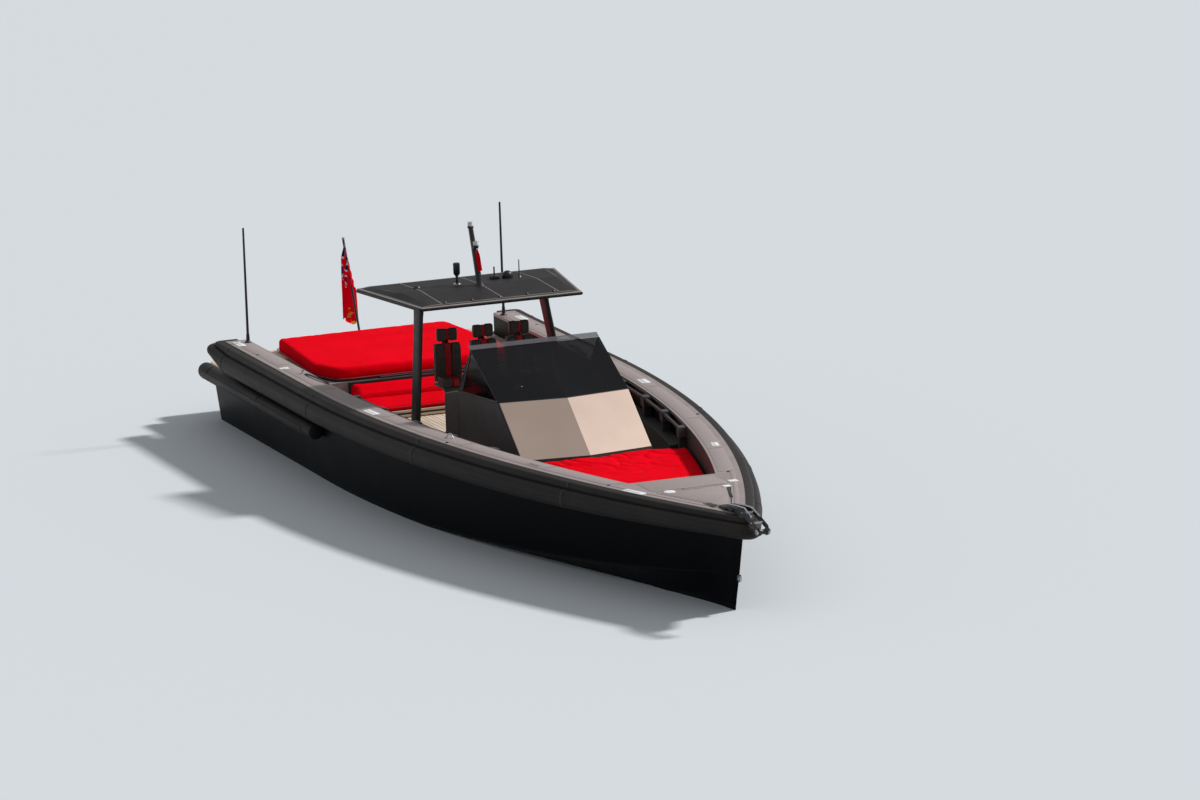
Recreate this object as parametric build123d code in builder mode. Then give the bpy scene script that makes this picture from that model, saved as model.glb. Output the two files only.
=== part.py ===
from build123d import *
import os
from math import cos, pi, radians, sin, sqrt

os.makedirs("parts", exist_ok=True)

# Open yacht tender, in millimetres.
# X points forward, Y to port, Z up. The origin is on the centreline at the waterline, amidships.

# Plan of the deck edge: straight aft, then one arc to the bow
HALF_BEAM = 2090
SHOULDER_X = -2500
TIP_X = 7200
SHEER_RADIUS = ((TIP_X - SHOULDER_X) ** 2 + HALF_BEAM**2) / (2 * HALF_BEAM)

# Heights above the waterline
SOLE_Z = 600
HULL_TOP_Z = 1200
DECK_THICKNESS = 40
DECK_Z = HULL_TOP_Z + DECK_THICKNESS
SOLE_THICKNESS = 20
SOLE_TOP_Z = SOLE_Z + SOLE_THICKNESS
AFT_DECK_Z = 940

# Stations fore and aft
HULL_AFT_X = -6900
AFT_BLOCK_X = -6600
TRANSOM_X = -6100
COCKPIT_AFT_X = -4060
WELL_FRONT_X = 4900

# Widths and gaps
GUNWALE_WIDTH = 310
SEAT_GAP = 0.3
MOVING_GAP = 6

# Hull sections: station, how far the chine lies inside the deck edge, chine height, keel height
HULL_SECTIONS = [
    (HULL_AFT_X, 160, -40, -540),
    (-3500, 160, -40, -640),
    (-1500, 155, -30, -680),
    (500, 165, 10, -710),
    (2200, 200, 75, -710),
    (3600, 215, 150, -680),
    (4800, 200, 240, -600),
    (5800, 160, 340, -470),
    (6500, 140, 430, -300),
]
STEM_FOOT = (6780, -150)
STEM_HEAD = (7175, HULL_TOP_Z)
STEM_HALF = 14

# Collar round the deck edge: a deep fender with a narrower rib on top of it
# bottom height, top height, how far it stands out, edge rounding
COLLAR_BANDS = [
    (885, 1130, 225, 95),
    (1095, 1225, 150, 40),
]
COLLAR_AFT_X = -6400
COLLAR_RETURN = 200
COLLAR_END_RADIUS = 190
COLLAR_NOSE_RADIUS = 170
COLLAR_BOW_X = 6800

# Stern fender along each side, and the bathing platform inside it
FENDER_RADIUS = 115
FENDER_Z = 690
FENDER_OUTBOARD = 20
FENDER_Y = HALF_BEAM + FENDER_OUTBOARD
FENDER_AFT_X = -7050
FENDER_FORE_X = -2350
PLATFORM_AFT_X = -7440
PLATFORM_THICKNESS = 120
PLATFORM_INSET = 160
PLATFORM_HALF = HALF_BEAM - PLATFORM_INSET
PLATFORM_CORNER = 150

# Engine bay, engines and hatch
BAY_AFT_X = -6200
BAY_FORE_X = -4250
BAY_HALF = 1050
BAY_FLOOR_Z = -100
ENGINE_SIZE = (1150, 640, 780)
ENGINE_X = -5250
ENGINE_Y = 600
DRIVE_Y = 720
HATCH_THICKNESS = 40
PAD_THICKNESS = 155
# Sun pad outline: station, half breadth
PAD_OUTLINE = [(-6480, 1205), (-4600, 1370), (-4130, 1210), (-4080, 1020)]
PAD_HINGE_X = PAD_OUTLINE[-1][0]
PAD_INSET = 15
PAD_CORNER = 60
PAD_EDGE_RADIUS = 50
HINGE_RADIUS = 15
HATCH_HINGE_Z = AFT_DECK_Z + HINGE_RADIUS + SEAT_GAP
HATCH_HINGE_LENGTH = 1200

# Pods, propellers
POD_X = -4900
POD_BASE_Z = -560
POD_BASE_RADIUS = 210
LEG_LENGTH = 330
LEG_CHORD = 330
LEG_WIDTH = 90
SPINDLE_RADIUS = 60
SPINDLE_LENGTH = 120
PIN_GAP = 0.5
POD_FLANGE = 40
GEARCASE_Z = -880
GEARCASE_RADIUS = 95
GEARCASE_LENGTH = 620
PROP_RADIUS = 235
HUB_RADIUS = 85
HUB_LENGTH = 110
SHAFT_RADIUS = 28
BLADE_COUNT = 4
BLADE_THICKNESS = 22
BLADE_WIDTH = 105
BLADE_TWIST = 50

# Bench, lockers and cushions
BENCH_HALF = 1060
BENCH_FRONT_X = -2920
BENCH_SEAT_Z = 690
BENCH_BACK_WALL = 40
BENCH_BACK_FOOT = 360
BENCH_BACK_TOP = 120
BENCH_CUSHION = 110
CUSHION_EDGE = 30
SOFT_GAP = 10
SIDE_LOCKER_AFT_X = -1300
SIDE_LOCKER_FORE_X = 1900
SIDE_LOCKER_WIDTH = 190
SIDE_LOCKER_Z = 960

# Console: station and height of each corner of its side, from the foot forward
CONSOLE_HALF = 880
CONSOLE_WALL = 40
CONSOLE_AFT_X = -750
CONSOLE_AFT_Z = 1360
GLASS_FOOT_AFT = (-240, 1480)
GLASS_FOOT = (1250, 1600)
GLASS_HEAD = (280, 2110)
PANEL_FOOT = (2010, 990)
CONSOLE_FOOT_X = 2080
CREASE = 120
GLASS_THICKNESS = 12

SIDE_GLASS_INSET = 10
SIDE_GLASS_BACK = 60
SIDE_GLASS_HEAD = 30

# Helm
DASH_X = 0
DASH_WALL = 40
DASH_PROFILE = [
    (0, 620),
    (0, 1180),
    (-140, 1230),
    (-60, 1430),
    (60, 1500),
    (1100, 1560),
    (1100, 1520),
    (80, 1450),
    (40, 1400),
    (40, 620),
]
DOOR_Y = 480
DOOR_WIDTH = 520
DOOR_HEIGHT = 540
DOOR_SILL = 20
DOOR_THICKNESS = 30
DOOR_PIN_RADIUS = 10
DOOR_HINGE_Y = DOOR_Y + DOOR_WIDTH / 2 - MOVING_GAP - DOOR_PIN_RADIUS
WHEEL_RADIUS = 190
WHEEL_RIM_RADIUS = 16
WHEEL_TILT = 35
WHEEL_CENTRE = (-330, 0, 1420)
WHEEL_HUB_RADIUS = 45
WHEEL_HUB_DEPTH = 50
WHEEL_SPOKES = 3
WHEEL_SPOKE_WIDTH = 34
WHEEL_SPOKE_THICKNESS = 10
COLUMN_RADIUS = 32
COLUMN_LENGTH = 400
SEAT_X = -1560
SEAT_SPACING = 500
SEAT_PLACES = [-1, 0, 1]
SEAT_SHELL_Z = 1280
SEAT_FOOT_Z = 1310
SEAT_PAD = 110
SEAT_BACK_Z = 1840
SEAT_HEAD_GAP = 40
SEAT_HEAD_Z = 2030
SEAT_STALK_DROP = 20
# Pedestal, shell and back stalk: aft and fore reach from the seat's station, half breadth, foot, head
SEAT_FRAME = [
    (-170, 190, 110, SOLE_TOP_Z, SEAT_SHELL_Z),
    (-190, 230, 160, SEAT_SHELL_Z, SEAT_FOOT_Z),
    (-190, -150, 40, SEAT_FOOT_Z, SEAT_HEAD_Z - SEAT_STALK_DROP),
]
# Seat, back and head pads, in the same columns
SEAT_PADS = [
    (-55, 240, 180, SEAT_FOOT_Z + SEAT_GAP, SEAT_FOOT_Z + SEAT_PAD),
    (-150 + SEAT_GAP, -65, 180, SEAT_FOOT_Z + SOFT_GAP, SEAT_BACK_Z),
    (-150 + SEAT_GAP, -75, 135, SEAT_BACK_Z + SEAT_HEAD_GAP, SEAT_HEAD_Z),
]

# Roof
ROOF_AFT = (-2590, 1385)
ROOF_FORE = (-910, 1110)
ROOF_Z = 2435
ROOF_THICKNESS = 45
ROOF_CROWN = 60
ROOF_EDGE = 160
STRUT_TOP = (-1700, 850)
STRUT_FOOT = (-1400, 1080)
STRUT_CHORD = 260
STRUT_THICKNESS = 60

MAST_FOOT_X = -1690
MAST_TOP = (-1960, 3300)
MAST_WIDTH = 70
MAST_DEPTH = 110
LAMP_RADIUS = 35
LAMP_HEIGHT = 70

# Antennas, flagstaff and ensign
ANTENNA_X = -5870
ANTENNA_INSET = 245
ANTENNA_Y = HALF_BEAM - ANTENNA_INSET
ANTENNA_BASE_RADIUS = 35
ANTENNA_BASE_HEIGHT = 90
ANTENNA_RADIUS = 11
ANTENNA_HEIGHT = 1530
STAFF_X = -6540
STAFF_LEAN = 23.7
STAFF_SOCKET_RADIUS = 28
STAFF_SOCKET_HEIGHT = 60
STAFF_RADIUS = 14
STAFF_LENGTH = 1465
ENSIGN_THICKNESS = 140
ENSIGN_OUTLINE = [(-7050, 2270), (-6740, 1570), (-6800, 1180), (-7000, 1150), (-7110, 1630), (-7120, 2260)]

# Foredeck
LOCKER_AFT_X = 5530
LOCKER_FORE_X = 6600
LOCKER_INSET = 175
LOCKER_GAP = 12
LOCKER_CORNER = 60
LOCKER_HINGE_RADIUS = 10
LOCKER_HINGE_LENGTH = 240
LOCKER_LEAF = 60
LOCKER_LEAF_THICKNESS = 8
LOCKER_HINGE_Z = DECK_Z + LOCKER_HINGE_RADIUS + SEAT_GAP
LOCKER_FLOOR_Z = 800
LOCKER_LIP = 40
FORE_SEAT_Z = 860
FORE_CUSHION_Z = 1015
BOW_ARM_HALF = 75
BOW_ARM_PLATE = 8
BOW_ARM_BASE = (6840, 7120)
BOW_ARM_OUTLINE = [(6840, 1240), (6840, 1290), (7350, 1340), (7760, 1220), (7795, 1160), (7755, 1100), (7730, 1160),
                   (7300, 1270), (7120, 1240)]
ROLLER_CENTRE = (7770, 1150)
ROLLER_RADIUS = 45
ROLLER_PIN_RADIUS = 10
ROLLER_LENGTH = 120
EYE_THICKNESS = 25
EYE_OUTER = 45
EYE_BORE = 20
TOW_EYE_X = 6990
TOW_EYE_Z = 420
STERN_EYE_Y = 1300
STERN_EYE_Z = 250
CLEAT_STATIONS = [-5750, -3950, -650, 3350]
CLEAT_INSET = 120
CLEAT_LENGTH = 220
CLEAT_FOOT_HALF = 15
CLEAT_HORN_HALF = 12
CLEAT_FOOT_HEIGHT = 25
CLEAT_HEIGHT = 45


def edge_y(x, inset=0):
    """Half breadth of the deck edge at a station, moved in by inset."""
    if x <= SHOULDER_X:
        return HALF_BEAM - inset
    radius = SHEER_RADIUS - inset
    reach = radius**2 - (x - SHOULDER_X) ** 2
    return sqrt(reach) - (SHEER_RADIUS - HALF_BEAM)


def tip_x(inset=0):
    """Station where the moved deck edge meets the centreline."""
    return SHOULDER_X + sqrt((SHEER_RADIUS - inset) ** 2 - (SHEER_RADIUS - HALF_BEAM) ** 2)


def edge_side(aft_x, fore_x, inset, side):
    """One side of the moved deck edge, from aft_x to fore_x."""
    if aft_x < SHOULDER_X:
        shoulder = (min(SHOULDER_X, fore_x), side * edge_y(SHOULDER_X, inset))
        Line((aft_x, side * edge_y(aft_x, inset)), shoulder)
    if fore_x > SHOULDER_X:
        start_x = max(aft_x, SHOULDER_X)
        middle_x = (start_x + fore_x) / 2
        stations = (start_x, middle_x, fore_x)
        ends = [(x, side * edge_y(x, inset)) for x in stations]
        ThreePointArc(*ends)


def plan(aft_x, fore_x, inset):
    """Face inside the moved deck edge, between two stations."""
    pointed = fore_x >= tip_x(inset)
    end_x = tip_x(inset) if pointed else fore_x
    with BuildLine() as border:
        for side in (-1, 1):
            edge_side(aft_x, end_x, inset, side)
        Line((aft_x, -edge_y(aft_x, inset)), (aft_x, edge_y(aft_x, inset)))
        if not pointed:
            Line((end_x, -edge_y(end_x, inset)), (end_x, edge_y(end_x, inset)))
    make_face(border.line.edges())


def save(part, name):
    """Label a finished part and write it."""
    part.label = name
    export_step(part, f"parts/{name}.step")


def box_between(low, high):
    """Box from its lowest to its highest corner."""
    size = [b - a for a, b in zip(low, high)]
    middle = [(a + b) / 2 for a, b in zip(low, high)]
    with Locations(tuple(middle)):
        Box(*size)


def side_name(side):
    return "port" if side > 0 else "starboard"


# Hull form, up to the underside of the deck
with BuildPart() as hull_form:
    for x, chine_inset, chine_z, keel_z in HULL_SECTIONS:
        chine_y = edge_y(x, chine_inset)
        with BuildSketch(Plane(origin=(x, 0, 0), x_dir=(0, 1, 0), z_dir=(1, 0, 0))):
            with BuildLine():
                Polyline(
                    (0, keel_z),
                    (chine_y, chine_z),
                    (edge_y(x), HULL_TOP_Z),
                    (-edge_y(x), HULL_TOP_Z),
                    (-chine_y, chine_z),
                    close=True,
                )
            make_face()
    stem_run = STEM_HEAD[0] - STEM_FOOT[0]
    stem_rise = STEM_HEAD[1] - STEM_FOOT[1]
    stem_length = sqrt(stem_run**2 + stem_rise**2)
    stem_plane = Plane(origin=(STEM_FOOT[0], 0, STEM_FOOT[1]), x_dir=(0, 1, 0), z_dir=(stem_rise, 0, -stem_run))
    with BuildSketch(stem_plane):
        with BuildLine():
            Polyline(
                (0, 0),
                (STEM_HALF, stem_length * 0.45),
                (STEM_HALF, stem_length),
                (-STEM_HALF, stem_length),
                (-STEM_HALF, stem_length * 0.45),
                close=True,
            )
        make_face()
    loft(ruled=True)

# Hull below the sole, with the engine bay sunk in it
with BuildPart() as hull:
    add(hull_form.part)
    split(bisect_by=Plane.XY.offset(SOLE_Z), keep=Keep.BOTTOM)
    with BuildSketch(Plane.XY.offset(BAY_FLOOR_Z)):
        with Locations(((BAY_AFT_X + BAY_FORE_X) / 2, 0)):
            Rectangle(BAY_FORE_X - BAY_AFT_X, 2 * BAY_HALF)
    extrude(amount=SOLE_Z - BAY_FLOOR_Z, mode=Mode.SUBTRACT)
    for side in (-1, 1):
        with BuildSketch(Plane.XY.offset(POD_BASE_Z)):
            with Locations((POD_X, side * DRIVE_Y)):
                Circle(POD_BASE_RADIUS)
        extrude(amount=BAY_FLOOR_Z - POD_BASE_Z, mode=Mode.ADD)
        with BuildSketch(Plane.XY.offset(POD_BASE_Z)):
            with Locations((POD_X, side * DRIVE_Y)):
                Circle(SPINDLE_RADIUS + PIN_GAP)
        extrude(amount=SPINDLE_LENGTH + MOVING_GAP, mode=Mode.SUBTRACT)
save(hull.part, "hull")

# Topsides on each side of the cockpit
for side in (-1, 1):
    with BuildPart() as topside:
        add(hull_form.part)
        split(bisect_by=Plane.XY.offset(SOLE_Z), keep=Keep.TOP)
        split(bisect_by=Plane.YZ.offset(WELL_FRONT_X), keep=Keep.BOTTOM)
        split(bisect_by=Plane.YZ.offset(TRANSOM_X), keep=Keep.TOP)
        with BuildSketch(Plane.XY.offset(SOLE_Z)):
            plan(TRANSOM_X - 10, WELL_FRONT_X + 10, GUNWALE_WIDTH)
        extrude(amount=HULL_TOP_Z - SOLE_Z, mode=Mode.SUBTRACT)
        split(bisect_by=Plane.XZ, keep=Keep.BOTTOM if side > 0 else Keep.TOP)
    save(topside.part, f"topside_{side_name(side)}")

# Bow block under the foredeck, with the anchor locker in it
with BuildPart() as bow:
    add(hull_form.part)
    split(bisect_by=Plane.XY.offset(SOLE_Z), keep=Keep.TOP)
    split(bisect_by=Plane.YZ.offset(WELL_FRONT_X), keep=Keep.TOP)
    with BuildSketch(Plane.XY.offset(LOCKER_FLOOR_Z)):
        plan(LOCKER_AFT_X + LOCKER_LIP, LOCKER_FORE_X - LOCKER_LIP, LOCKER_INSET + LOCKER_LIP)
    extrude(amount=HULL_TOP_Z - LOCKER_FLOOR_Z, mode=Mode.SUBTRACT)
save(bow.part, "bow")

# Gunwales and foredeck plate
for side in (-1, 1):
    with BuildPart() as gunwale:
        with BuildSketch(Plane.XY.offset(HULL_TOP_Z)):
            plan(TRANSOM_X, WELL_FRONT_X, 0)
        extrude(amount=DECK_THICKNESS)
        with BuildSketch(Plane.XY.offset(HULL_TOP_Z)):
            plan(TRANSOM_X - 10, WELL_FRONT_X + 10, GUNWALE_WIDTH)
        extrude(amount=DECK_THICKNESS, mode=Mode.SUBTRACT)
        split(bisect_by=Plane.XZ, keep=Keep.BOTTOM if side > 0 else Keep.TOP)
    save(gunwale.part, f"gunwale_{side_name(side)}")


def hatch_outline(grow=0):
    """Anchor hatch outline, moved out by grow, with its aft corners rounded."""
    plan(LOCKER_AFT_X - grow, LOCKER_FORE_X + grow, LOCKER_INSET - grow)
    fillet(vertices().group_by(Axis.X)[0], LOCKER_CORNER + grow)


with BuildPart() as foredeck:
    with BuildSketch(Plane.XY.offset(HULL_TOP_Z)):
        plan(WELL_FRONT_X, TIP_X, 0)
    extrude(amount=DECK_THICKNESS)
    with BuildSketch(Plane.XY.offset(HULL_TOP_Z)):
        hatch_outline(LOCKER_GAP)
    extrude(amount=DECK_THICKNESS, mode=Mode.SUBTRACT)
save(foredeck.part, "foredeck")

# Anchor hatch, hinged on a barrel along its aft edge
with BuildPart() as anchor_hatch:
    with BuildSketch(Plane.XY.offset(HULL_TOP_Z + SEAT_GAP)):
        hatch_outline()
    extrude(amount=DECK_THICKNESS - SEAT_GAP)
    leaf_half = LOCKER_HINGE_LENGTH / 2
    box_between(
        (LOCKER_AFT_X, -leaf_half, DECK_Z),
        (LOCKER_AFT_X + LOCKER_LEAF, leaf_half, DECK_Z + LOCKER_LEAF_THICKNESS),
    )
    with BuildSketch(Plane.XZ.offset(-leaf_half)):
        with Locations((LOCKER_AFT_X, LOCKER_HINGE_Z)):
            Circle(LOCKER_HINGE_RADIUS)
    extrude(amount=LOCKER_HINGE_LENGTH)
save(anchor_hatch.part, "anchor_hatch")

# Collar in a starboard, a port and a bow length
bands = []
for bottom_z, top_z, proud, edge_radius in COLLAR_BANDS:
    with BuildPart() as band:
        with BuildSketch(Plane.XY.offset(bottom_z)):
            plan(COLLAR_AFT_X, TIP_X + 2 * HALF_BEAM, -proud)
            fillet(vertices().sort_by(Axis.X)[-1], COLLAR_NOSE_RADIUS)
            fillet(vertices().group_by(Axis.X)[0], COLLAR_END_RADIUS)
        extrude(amount=top_z - bottom_z)
        fillet(edges().group_by(Axis.Z)[0] + edges().group_by(Axis.Z)[-1], edge_radius)
    bands.append(band.part)

collar_bottom_z = COLLAR_BANDS[0][0]
collar_height = COLLAR_BANDS[-1][1] - collar_bottom_z
with BuildPart() as collar:
    add(bands)
    with BuildSketch(Plane.XY.offset(collar_bottom_z)):
        plan(TRANSOM_X, TIP_X + HALF_BEAM, 0)
        plan(COLLAR_AFT_X - COLLAR_END_RADIUS, TRANSOM_X, COLLAR_RETURN)
    extrude(amount=collar_height, mode=Mode.SUBTRACT)
    add(hull_form.part, mode=Mode.SUBTRACT)

# name, aft station, fore station, which side of the centreline it keeps
COLLAR_LENGTHS = [
    ("collar_starboard", COLLAR_AFT_X, COLLAR_BOW_X, -1),
    ("collar_port", COLLAR_AFT_X, COLLAR_BOW_X, 1),
    ("collar_bow", COLLAR_BOW_X, TIP_X + HALF_BEAM, 0),
]
for name, aft_x, fore_x, side in COLLAR_LENGTHS:
    with BuildPart() as collar_length:
        add(collar.part)
        split(bisect_by=Plane.YZ.offset(fore_x), keep=Keep.BOTTOM)
        if side:
            split(bisect_by=Plane.XZ, keep=Keep.BOTTOM if side > 0 else Keep.TOP)
        else:
            split(bisect_by=Plane.YZ.offset(aft_x), keep=Keep.TOP)
    save(collar_length.part, name)

# Stern fenders and bathing platform
for side in (-1, 1):
    with BuildPart() as fender:
        with BuildSketch(Plane.YZ.offset(FENDER_AFT_X)):
            with Locations((side * FENDER_Y, FENDER_Z)):
                Circle(FENDER_RADIUS)
        extrude(amount=FENDER_FORE_X - FENDER_AFT_X)
        fillet(edges().filter_by(GeomType.CIRCLE), FENDER_RADIUS * 0.7)
        add(hull_form.part, mode=Mode.SUBTRACT)
    save(fender.part, f"stern_fender_{side_name(side)}")

with BuildPart() as platform:
    with BuildSketch(Plane.XY.offset(SOLE_Z)):
        with Locations(((PLATFORM_AFT_X + TRANSOM_X) / 2, 0)):
            Rectangle(TRANSOM_X - PLATFORM_AFT_X, 2 * PLATFORM_HALF)
        fillet(vertices().group_by(Axis.X)[0], PLATFORM_CORNER)
    extrude(amount=PLATFORM_THICKNESS)
    with BuildSketch(Plane.XY.offset(SOLE_Z)):
        plan(AFT_BLOCK_X, TRANSOM_X, GUNWALE_WIDTH)
    extrude(amount=PLATFORM_THICKNESS, mode=Mode.SUBTRACT)
save(platform.part, "swim_platform")

# Raised deck round the engine bay
with BuildPart() as aft_deck:
    with BuildSketch(Plane.XY.offset(SOLE_Z)):
        plan(AFT_BLOCK_X, COCKPIT_AFT_X, GUNWALE_WIDTH)
        with Locations(((BAY_AFT_X + BAY_FORE_X) / 2, 0)):
            Rectangle(BAY_FORE_X - BAY_AFT_X, 2 * BAY_HALF, mode=Mode.SUBTRACT)
    extrude(amount=AFT_DECK_Z - SOLE_Z)
save(aft_deck.part, "aft_deck")

# Engines with their gearboxes, as plain closed blocks
with BuildPart() as engines:
    for side in (-1, 1):
        with Locations((ENGINE_X, side * ENGINE_Y, BAY_FLOOR_Z + ENGINE_SIZE[2] / 2)):
            Box(*ENGINE_SIZE)
save(engines.part, "engines")


def pad_outline(inset=0):
    """Sun pad outline, moved in by inset."""
    with BuildLine() as border:
        half = [(x, y) for x, y in PAD_OUTLINE]
        other = [(x, -y) for x, y in reversed(PAD_OUTLINE)]
        Polyline(*half, *other, close=True)
    make_face(border.line.edges())
    if inset:
        offset(amount=-inset, kind=Kind.INTERSECTION, mode=Mode.REPLACE)


# Engine hatch and the sun pad on it
with BuildPart() as hatch:
    with BuildSketch(Plane.XY.offset(AFT_DECK_Z + MOVING_GAP)):
        pad_outline()
    extrude(amount=HATCH_THICKNESS)
    with BuildSketch(Plane.XZ.offset(-HATCH_HINGE_LENGTH / 2)):
        with Locations((PAD_HINGE_X, HATCH_HINGE_Z)):
            Circle(HINGE_RADIUS)
    extrude(amount=HATCH_HINGE_LENGTH)
save(hatch.part, "engine_hatch")

with BuildPart() as sun_pad:
    with BuildSketch(Plane.XY.offset(AFT_DECK_Z + MOVING_GAP + HATCH_THICKNESS + SEAT_GAP)):
        pad_outline(PAD_INSET)
        fillet(vertices(), PAD_CORNER)
    extrude(amount=PAD_THICKNESS)
    fillet(edges().group_by(Axis.Z)[-1], PAD_EDGE_RADIUS)
save(sun_pad.part, "sun_pad")

# Pods: a leg that turns on its spindle, a gearcase and two propellers that turn against each other
for side in (-1, 1):
    y = side * DRIVE_Y
    with BuildPart() as pod:
        with BuildSketch(Plane.XY.offset(POD_BASE_Z - MOVING_GAP)):
            with Locations((POD_X, y)):
                Circle(SPINDLE_RADIUS)
        extrude(amount=SPINDLE_LENGTH + MOVING_GAP)
        with BuildSketch(Plane.XY.offset(POD_BASE_Z - MOVING_GAP)):
            with Locations((POD_X, y)):
                Circle(POD_BASE_RADIUS)
        extrude(amount=-POD_FLANGE)
        with BuildSketch(Plane.XY.offset(POD_BASE_Z - MOVING_GAP)):
            with Locations((POD_X, y)):
                Ellipse(LEG_CHORD / 2, LEG_WIDTH / 2)
        extrude(amount=-LEG_LENGTH)
        with BuildSketch(Plane.YZ.offset(POD_X - GEARCASE_LENGTH / 2)):
            with Locations((y, GEARCASE_Z)):
                Circle(GEARCASE_RADIUS)
        extrude(amount=GEARCASE_LENGTH)
        fillet(edges().filter_by(GeomType.CIRCLE).group_by(Axis.X)[0], GEARCASE_RADIUS * 0.8)
        with BuildSketch(Plane.YZ.offset(POD_X + GEARCASE_LENGTH / 2)):
            with Locations((y, GEARCASE_Z)):
                Circle(SHAFT_RADIUS)
        extrude(amount=2 * (HUB_LENGTH + MOVING_GAP))
    save(pod.part, f"pod_{side_name(side)}")
    for place, prop_name in enumerate(("aft", "fore")):
        hub_x = POD_X + GEARCASE_LENGTH / 2 + MOVING_GAP + place * (HUB_LENGTH + MOVING_GAP)
        with BuildPart() as propeller:
            with BuildSketch(Plane.YZ.offset(hub_x)):
                with Locations((y, GEARCASE_Z)):
                    Circle(HUB_RADIUS)
            extrude(amount=HUB_LENGTH)
            twist = radians(BLADE_TWIST if place else -BLADE_TWIST)
            centre = (hub_x + HUB_LENGTH / 2, y, GEARCASE_Z)
            for blade in range(BLADE_COUNT):
                angle = 2 * pi * blade / BLADE_COUNT
                radial = (0, cos(angle), sin(angle))
                chord = (cos(twist), -sin(angle) * sin(twist), cos(angle) * sin(twist))
                with BuildSketch(Plane(origin=centre, x_dir=chord, z_dir=radial)):
                    Rectangle(BLADE_WIDTH, BLADE_THICKNESS)
                extrude(amount=PROP_RADIUS)
            with BuildSketch(Plane.YZ.offset(hub_x)):
                with Locations((y, GEARCASE_Z)):
                    Circle(SHAFT_RADIUS + PIN_GAP)
            extrude(amount=HUB_LENGTH, mode=Mode.SUBTRACT)
        save(propeller.part, f"propeller_{prop_name}_{side_name(side)}")

# Cockpit sole, from the aft bench to the front of the bow well
with BuildPart() as sole:
    with BuildSketch(Plane.XY.offset(SOLE_Z)):
        plan(COCKPIT_AFT_X, WELL_FRONT_X, GUNWALE_WIDTH)
    extrude(amount=SOLE_THICKNESS)
save(sole.part, "cockpit_sole")

# Aft bench, facing forward
with BuildPart() as bench:
    box_between((COCKPIT_AFT_X, -BENCH_HALF, SOLE_TOP_Z), (BENCH_FRONT_X, BENCH_HALF, BENCH_SEAT_Z))
    box_between(
        (COCKPIT_AFT_X, -BENCH_HALF, BENCH_SEAT_Z),
        (COCKPIT_AFT_X + BENCH_BACK_WALL, BENCH_HALF, AFT_DECK_Z - MOVING_GAP),
    )
save(bench.part, "bench")

bench_back_x = COCKPIT_AFT_X + BENCH_BACK_WALL
cushion_foot = BENCH_SEAT_Z + SEAT_GAP
with BuildPart() as bench_seat:
    box_between(
        (bench_back_x + BENCH_BACK_FOOT + SOFT_GAP, -BENCH_HALF, cushion_foot),
        (BENCH_FRONT_X, BENCH_HALF, cushion_foot + BENCH_CUSHION),
    )
    fillet(edges(), CUSHION_EDGE)
save(bench_seat.part, "bench_seat_cushion")

# Back cushion with a leaning face
with BuildPart() as bench_back:
    with BuildSketch(Plane.XZ.offset(-BENCH_HALF)):
        with BuildLine() as border:
            Polyline(
                (bench_back_x + SEAT_GAP, cushion_foot),
                (bench_back_x + SEAT_GAP, AFT_DECK_Z - MOVING_GAP),
                (bench_back_x + BENCH_BACK_TOP, AFT_DECK_Z - MOVING_GAP),
                (bench_back_x + BENCH_BACK_FOOT, cushion_foot),
                close=True,
            )
        make_face(border.line.edges())
    extrude(amount=2 * BENCH_HALF)
    fillet(edges(), CUSHION_EDGE)
save(bench_back.part, "bench_back_cushion")

# Bow well: seat moulding and its cushion
with BuildPart() as fore_seat:
    with BuildSketch(Plane.XY.offset(SOLE_TOP_Z)):
        plan(CONSOLE_FOOT_X + CREASE + SOFT_GAP, WELL_FRONT_X, GUNWALE_WIDTH)
    extrude(amount=FORE_SEAT_Z - SOLE_TOP_Z)
save(fore_seat.part, "fore_seat")

with BuildPart() as fore_cushion:
    with BuildSketch(Plane.XY.offset(FORE_SEAT_Z + SEAT_GAP)):
        plan(CONSOLE_FOOT_X + CREASE + SOFT_GAP, WELL_FRONT_X - SOFT_GAP, GUNWALE_WIDTH + SOFT_GAP)
    extrude(amount=FORE_CUSHION_Z - FORE_SEAT_Z)
    fillet(edges().group_by(Axis.Z)[-1], CUSHION_EDGE)
save(fore_cushion.part, "fore_cushion")

# Lockers along the cockpit sides
with BuildPart() as side_lockers:
    with BuildSketch(Plane.XY.offset(SOLE_TOP_Z)):
        plan(SIDE_LOCKER_AFT_X, SIDE_LOCKER_FORE_X, GUNWALE_WIDTH)
    extrude(amount=SIDE_LOCKER_Z - SOLE_TOP_Z)
    with BuildSketch(Plane.XY.offset(SOLE_TOP_Z)):
        plan(SIDE_LOCKER_AFT_X - 10, SIDE_LOCKER_FORE_X + 10, GUNWALE_WIDTH + SIDE_LOCKER_WIDTH)
    extrude(amount=SIDE_LOCKER_Z - SOLE_TOP_Z, mode=Mode.SUBTRACT)
save(side_lockers.part, "side_lockers")


def console_profile(y, points, push):
    """Closed console section in the plane at y, with its forward corners pushed ahead."""
    with BuildSketch(Plane.XZ.offset(-y)) as profile:
        with BuildLine():
            moved = [(x + (push if ahead else 0), z) for x, z, ahead in points]
            Polyline(*moved, close=True)
        make_face()
    return profile.sketch.face()


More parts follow.
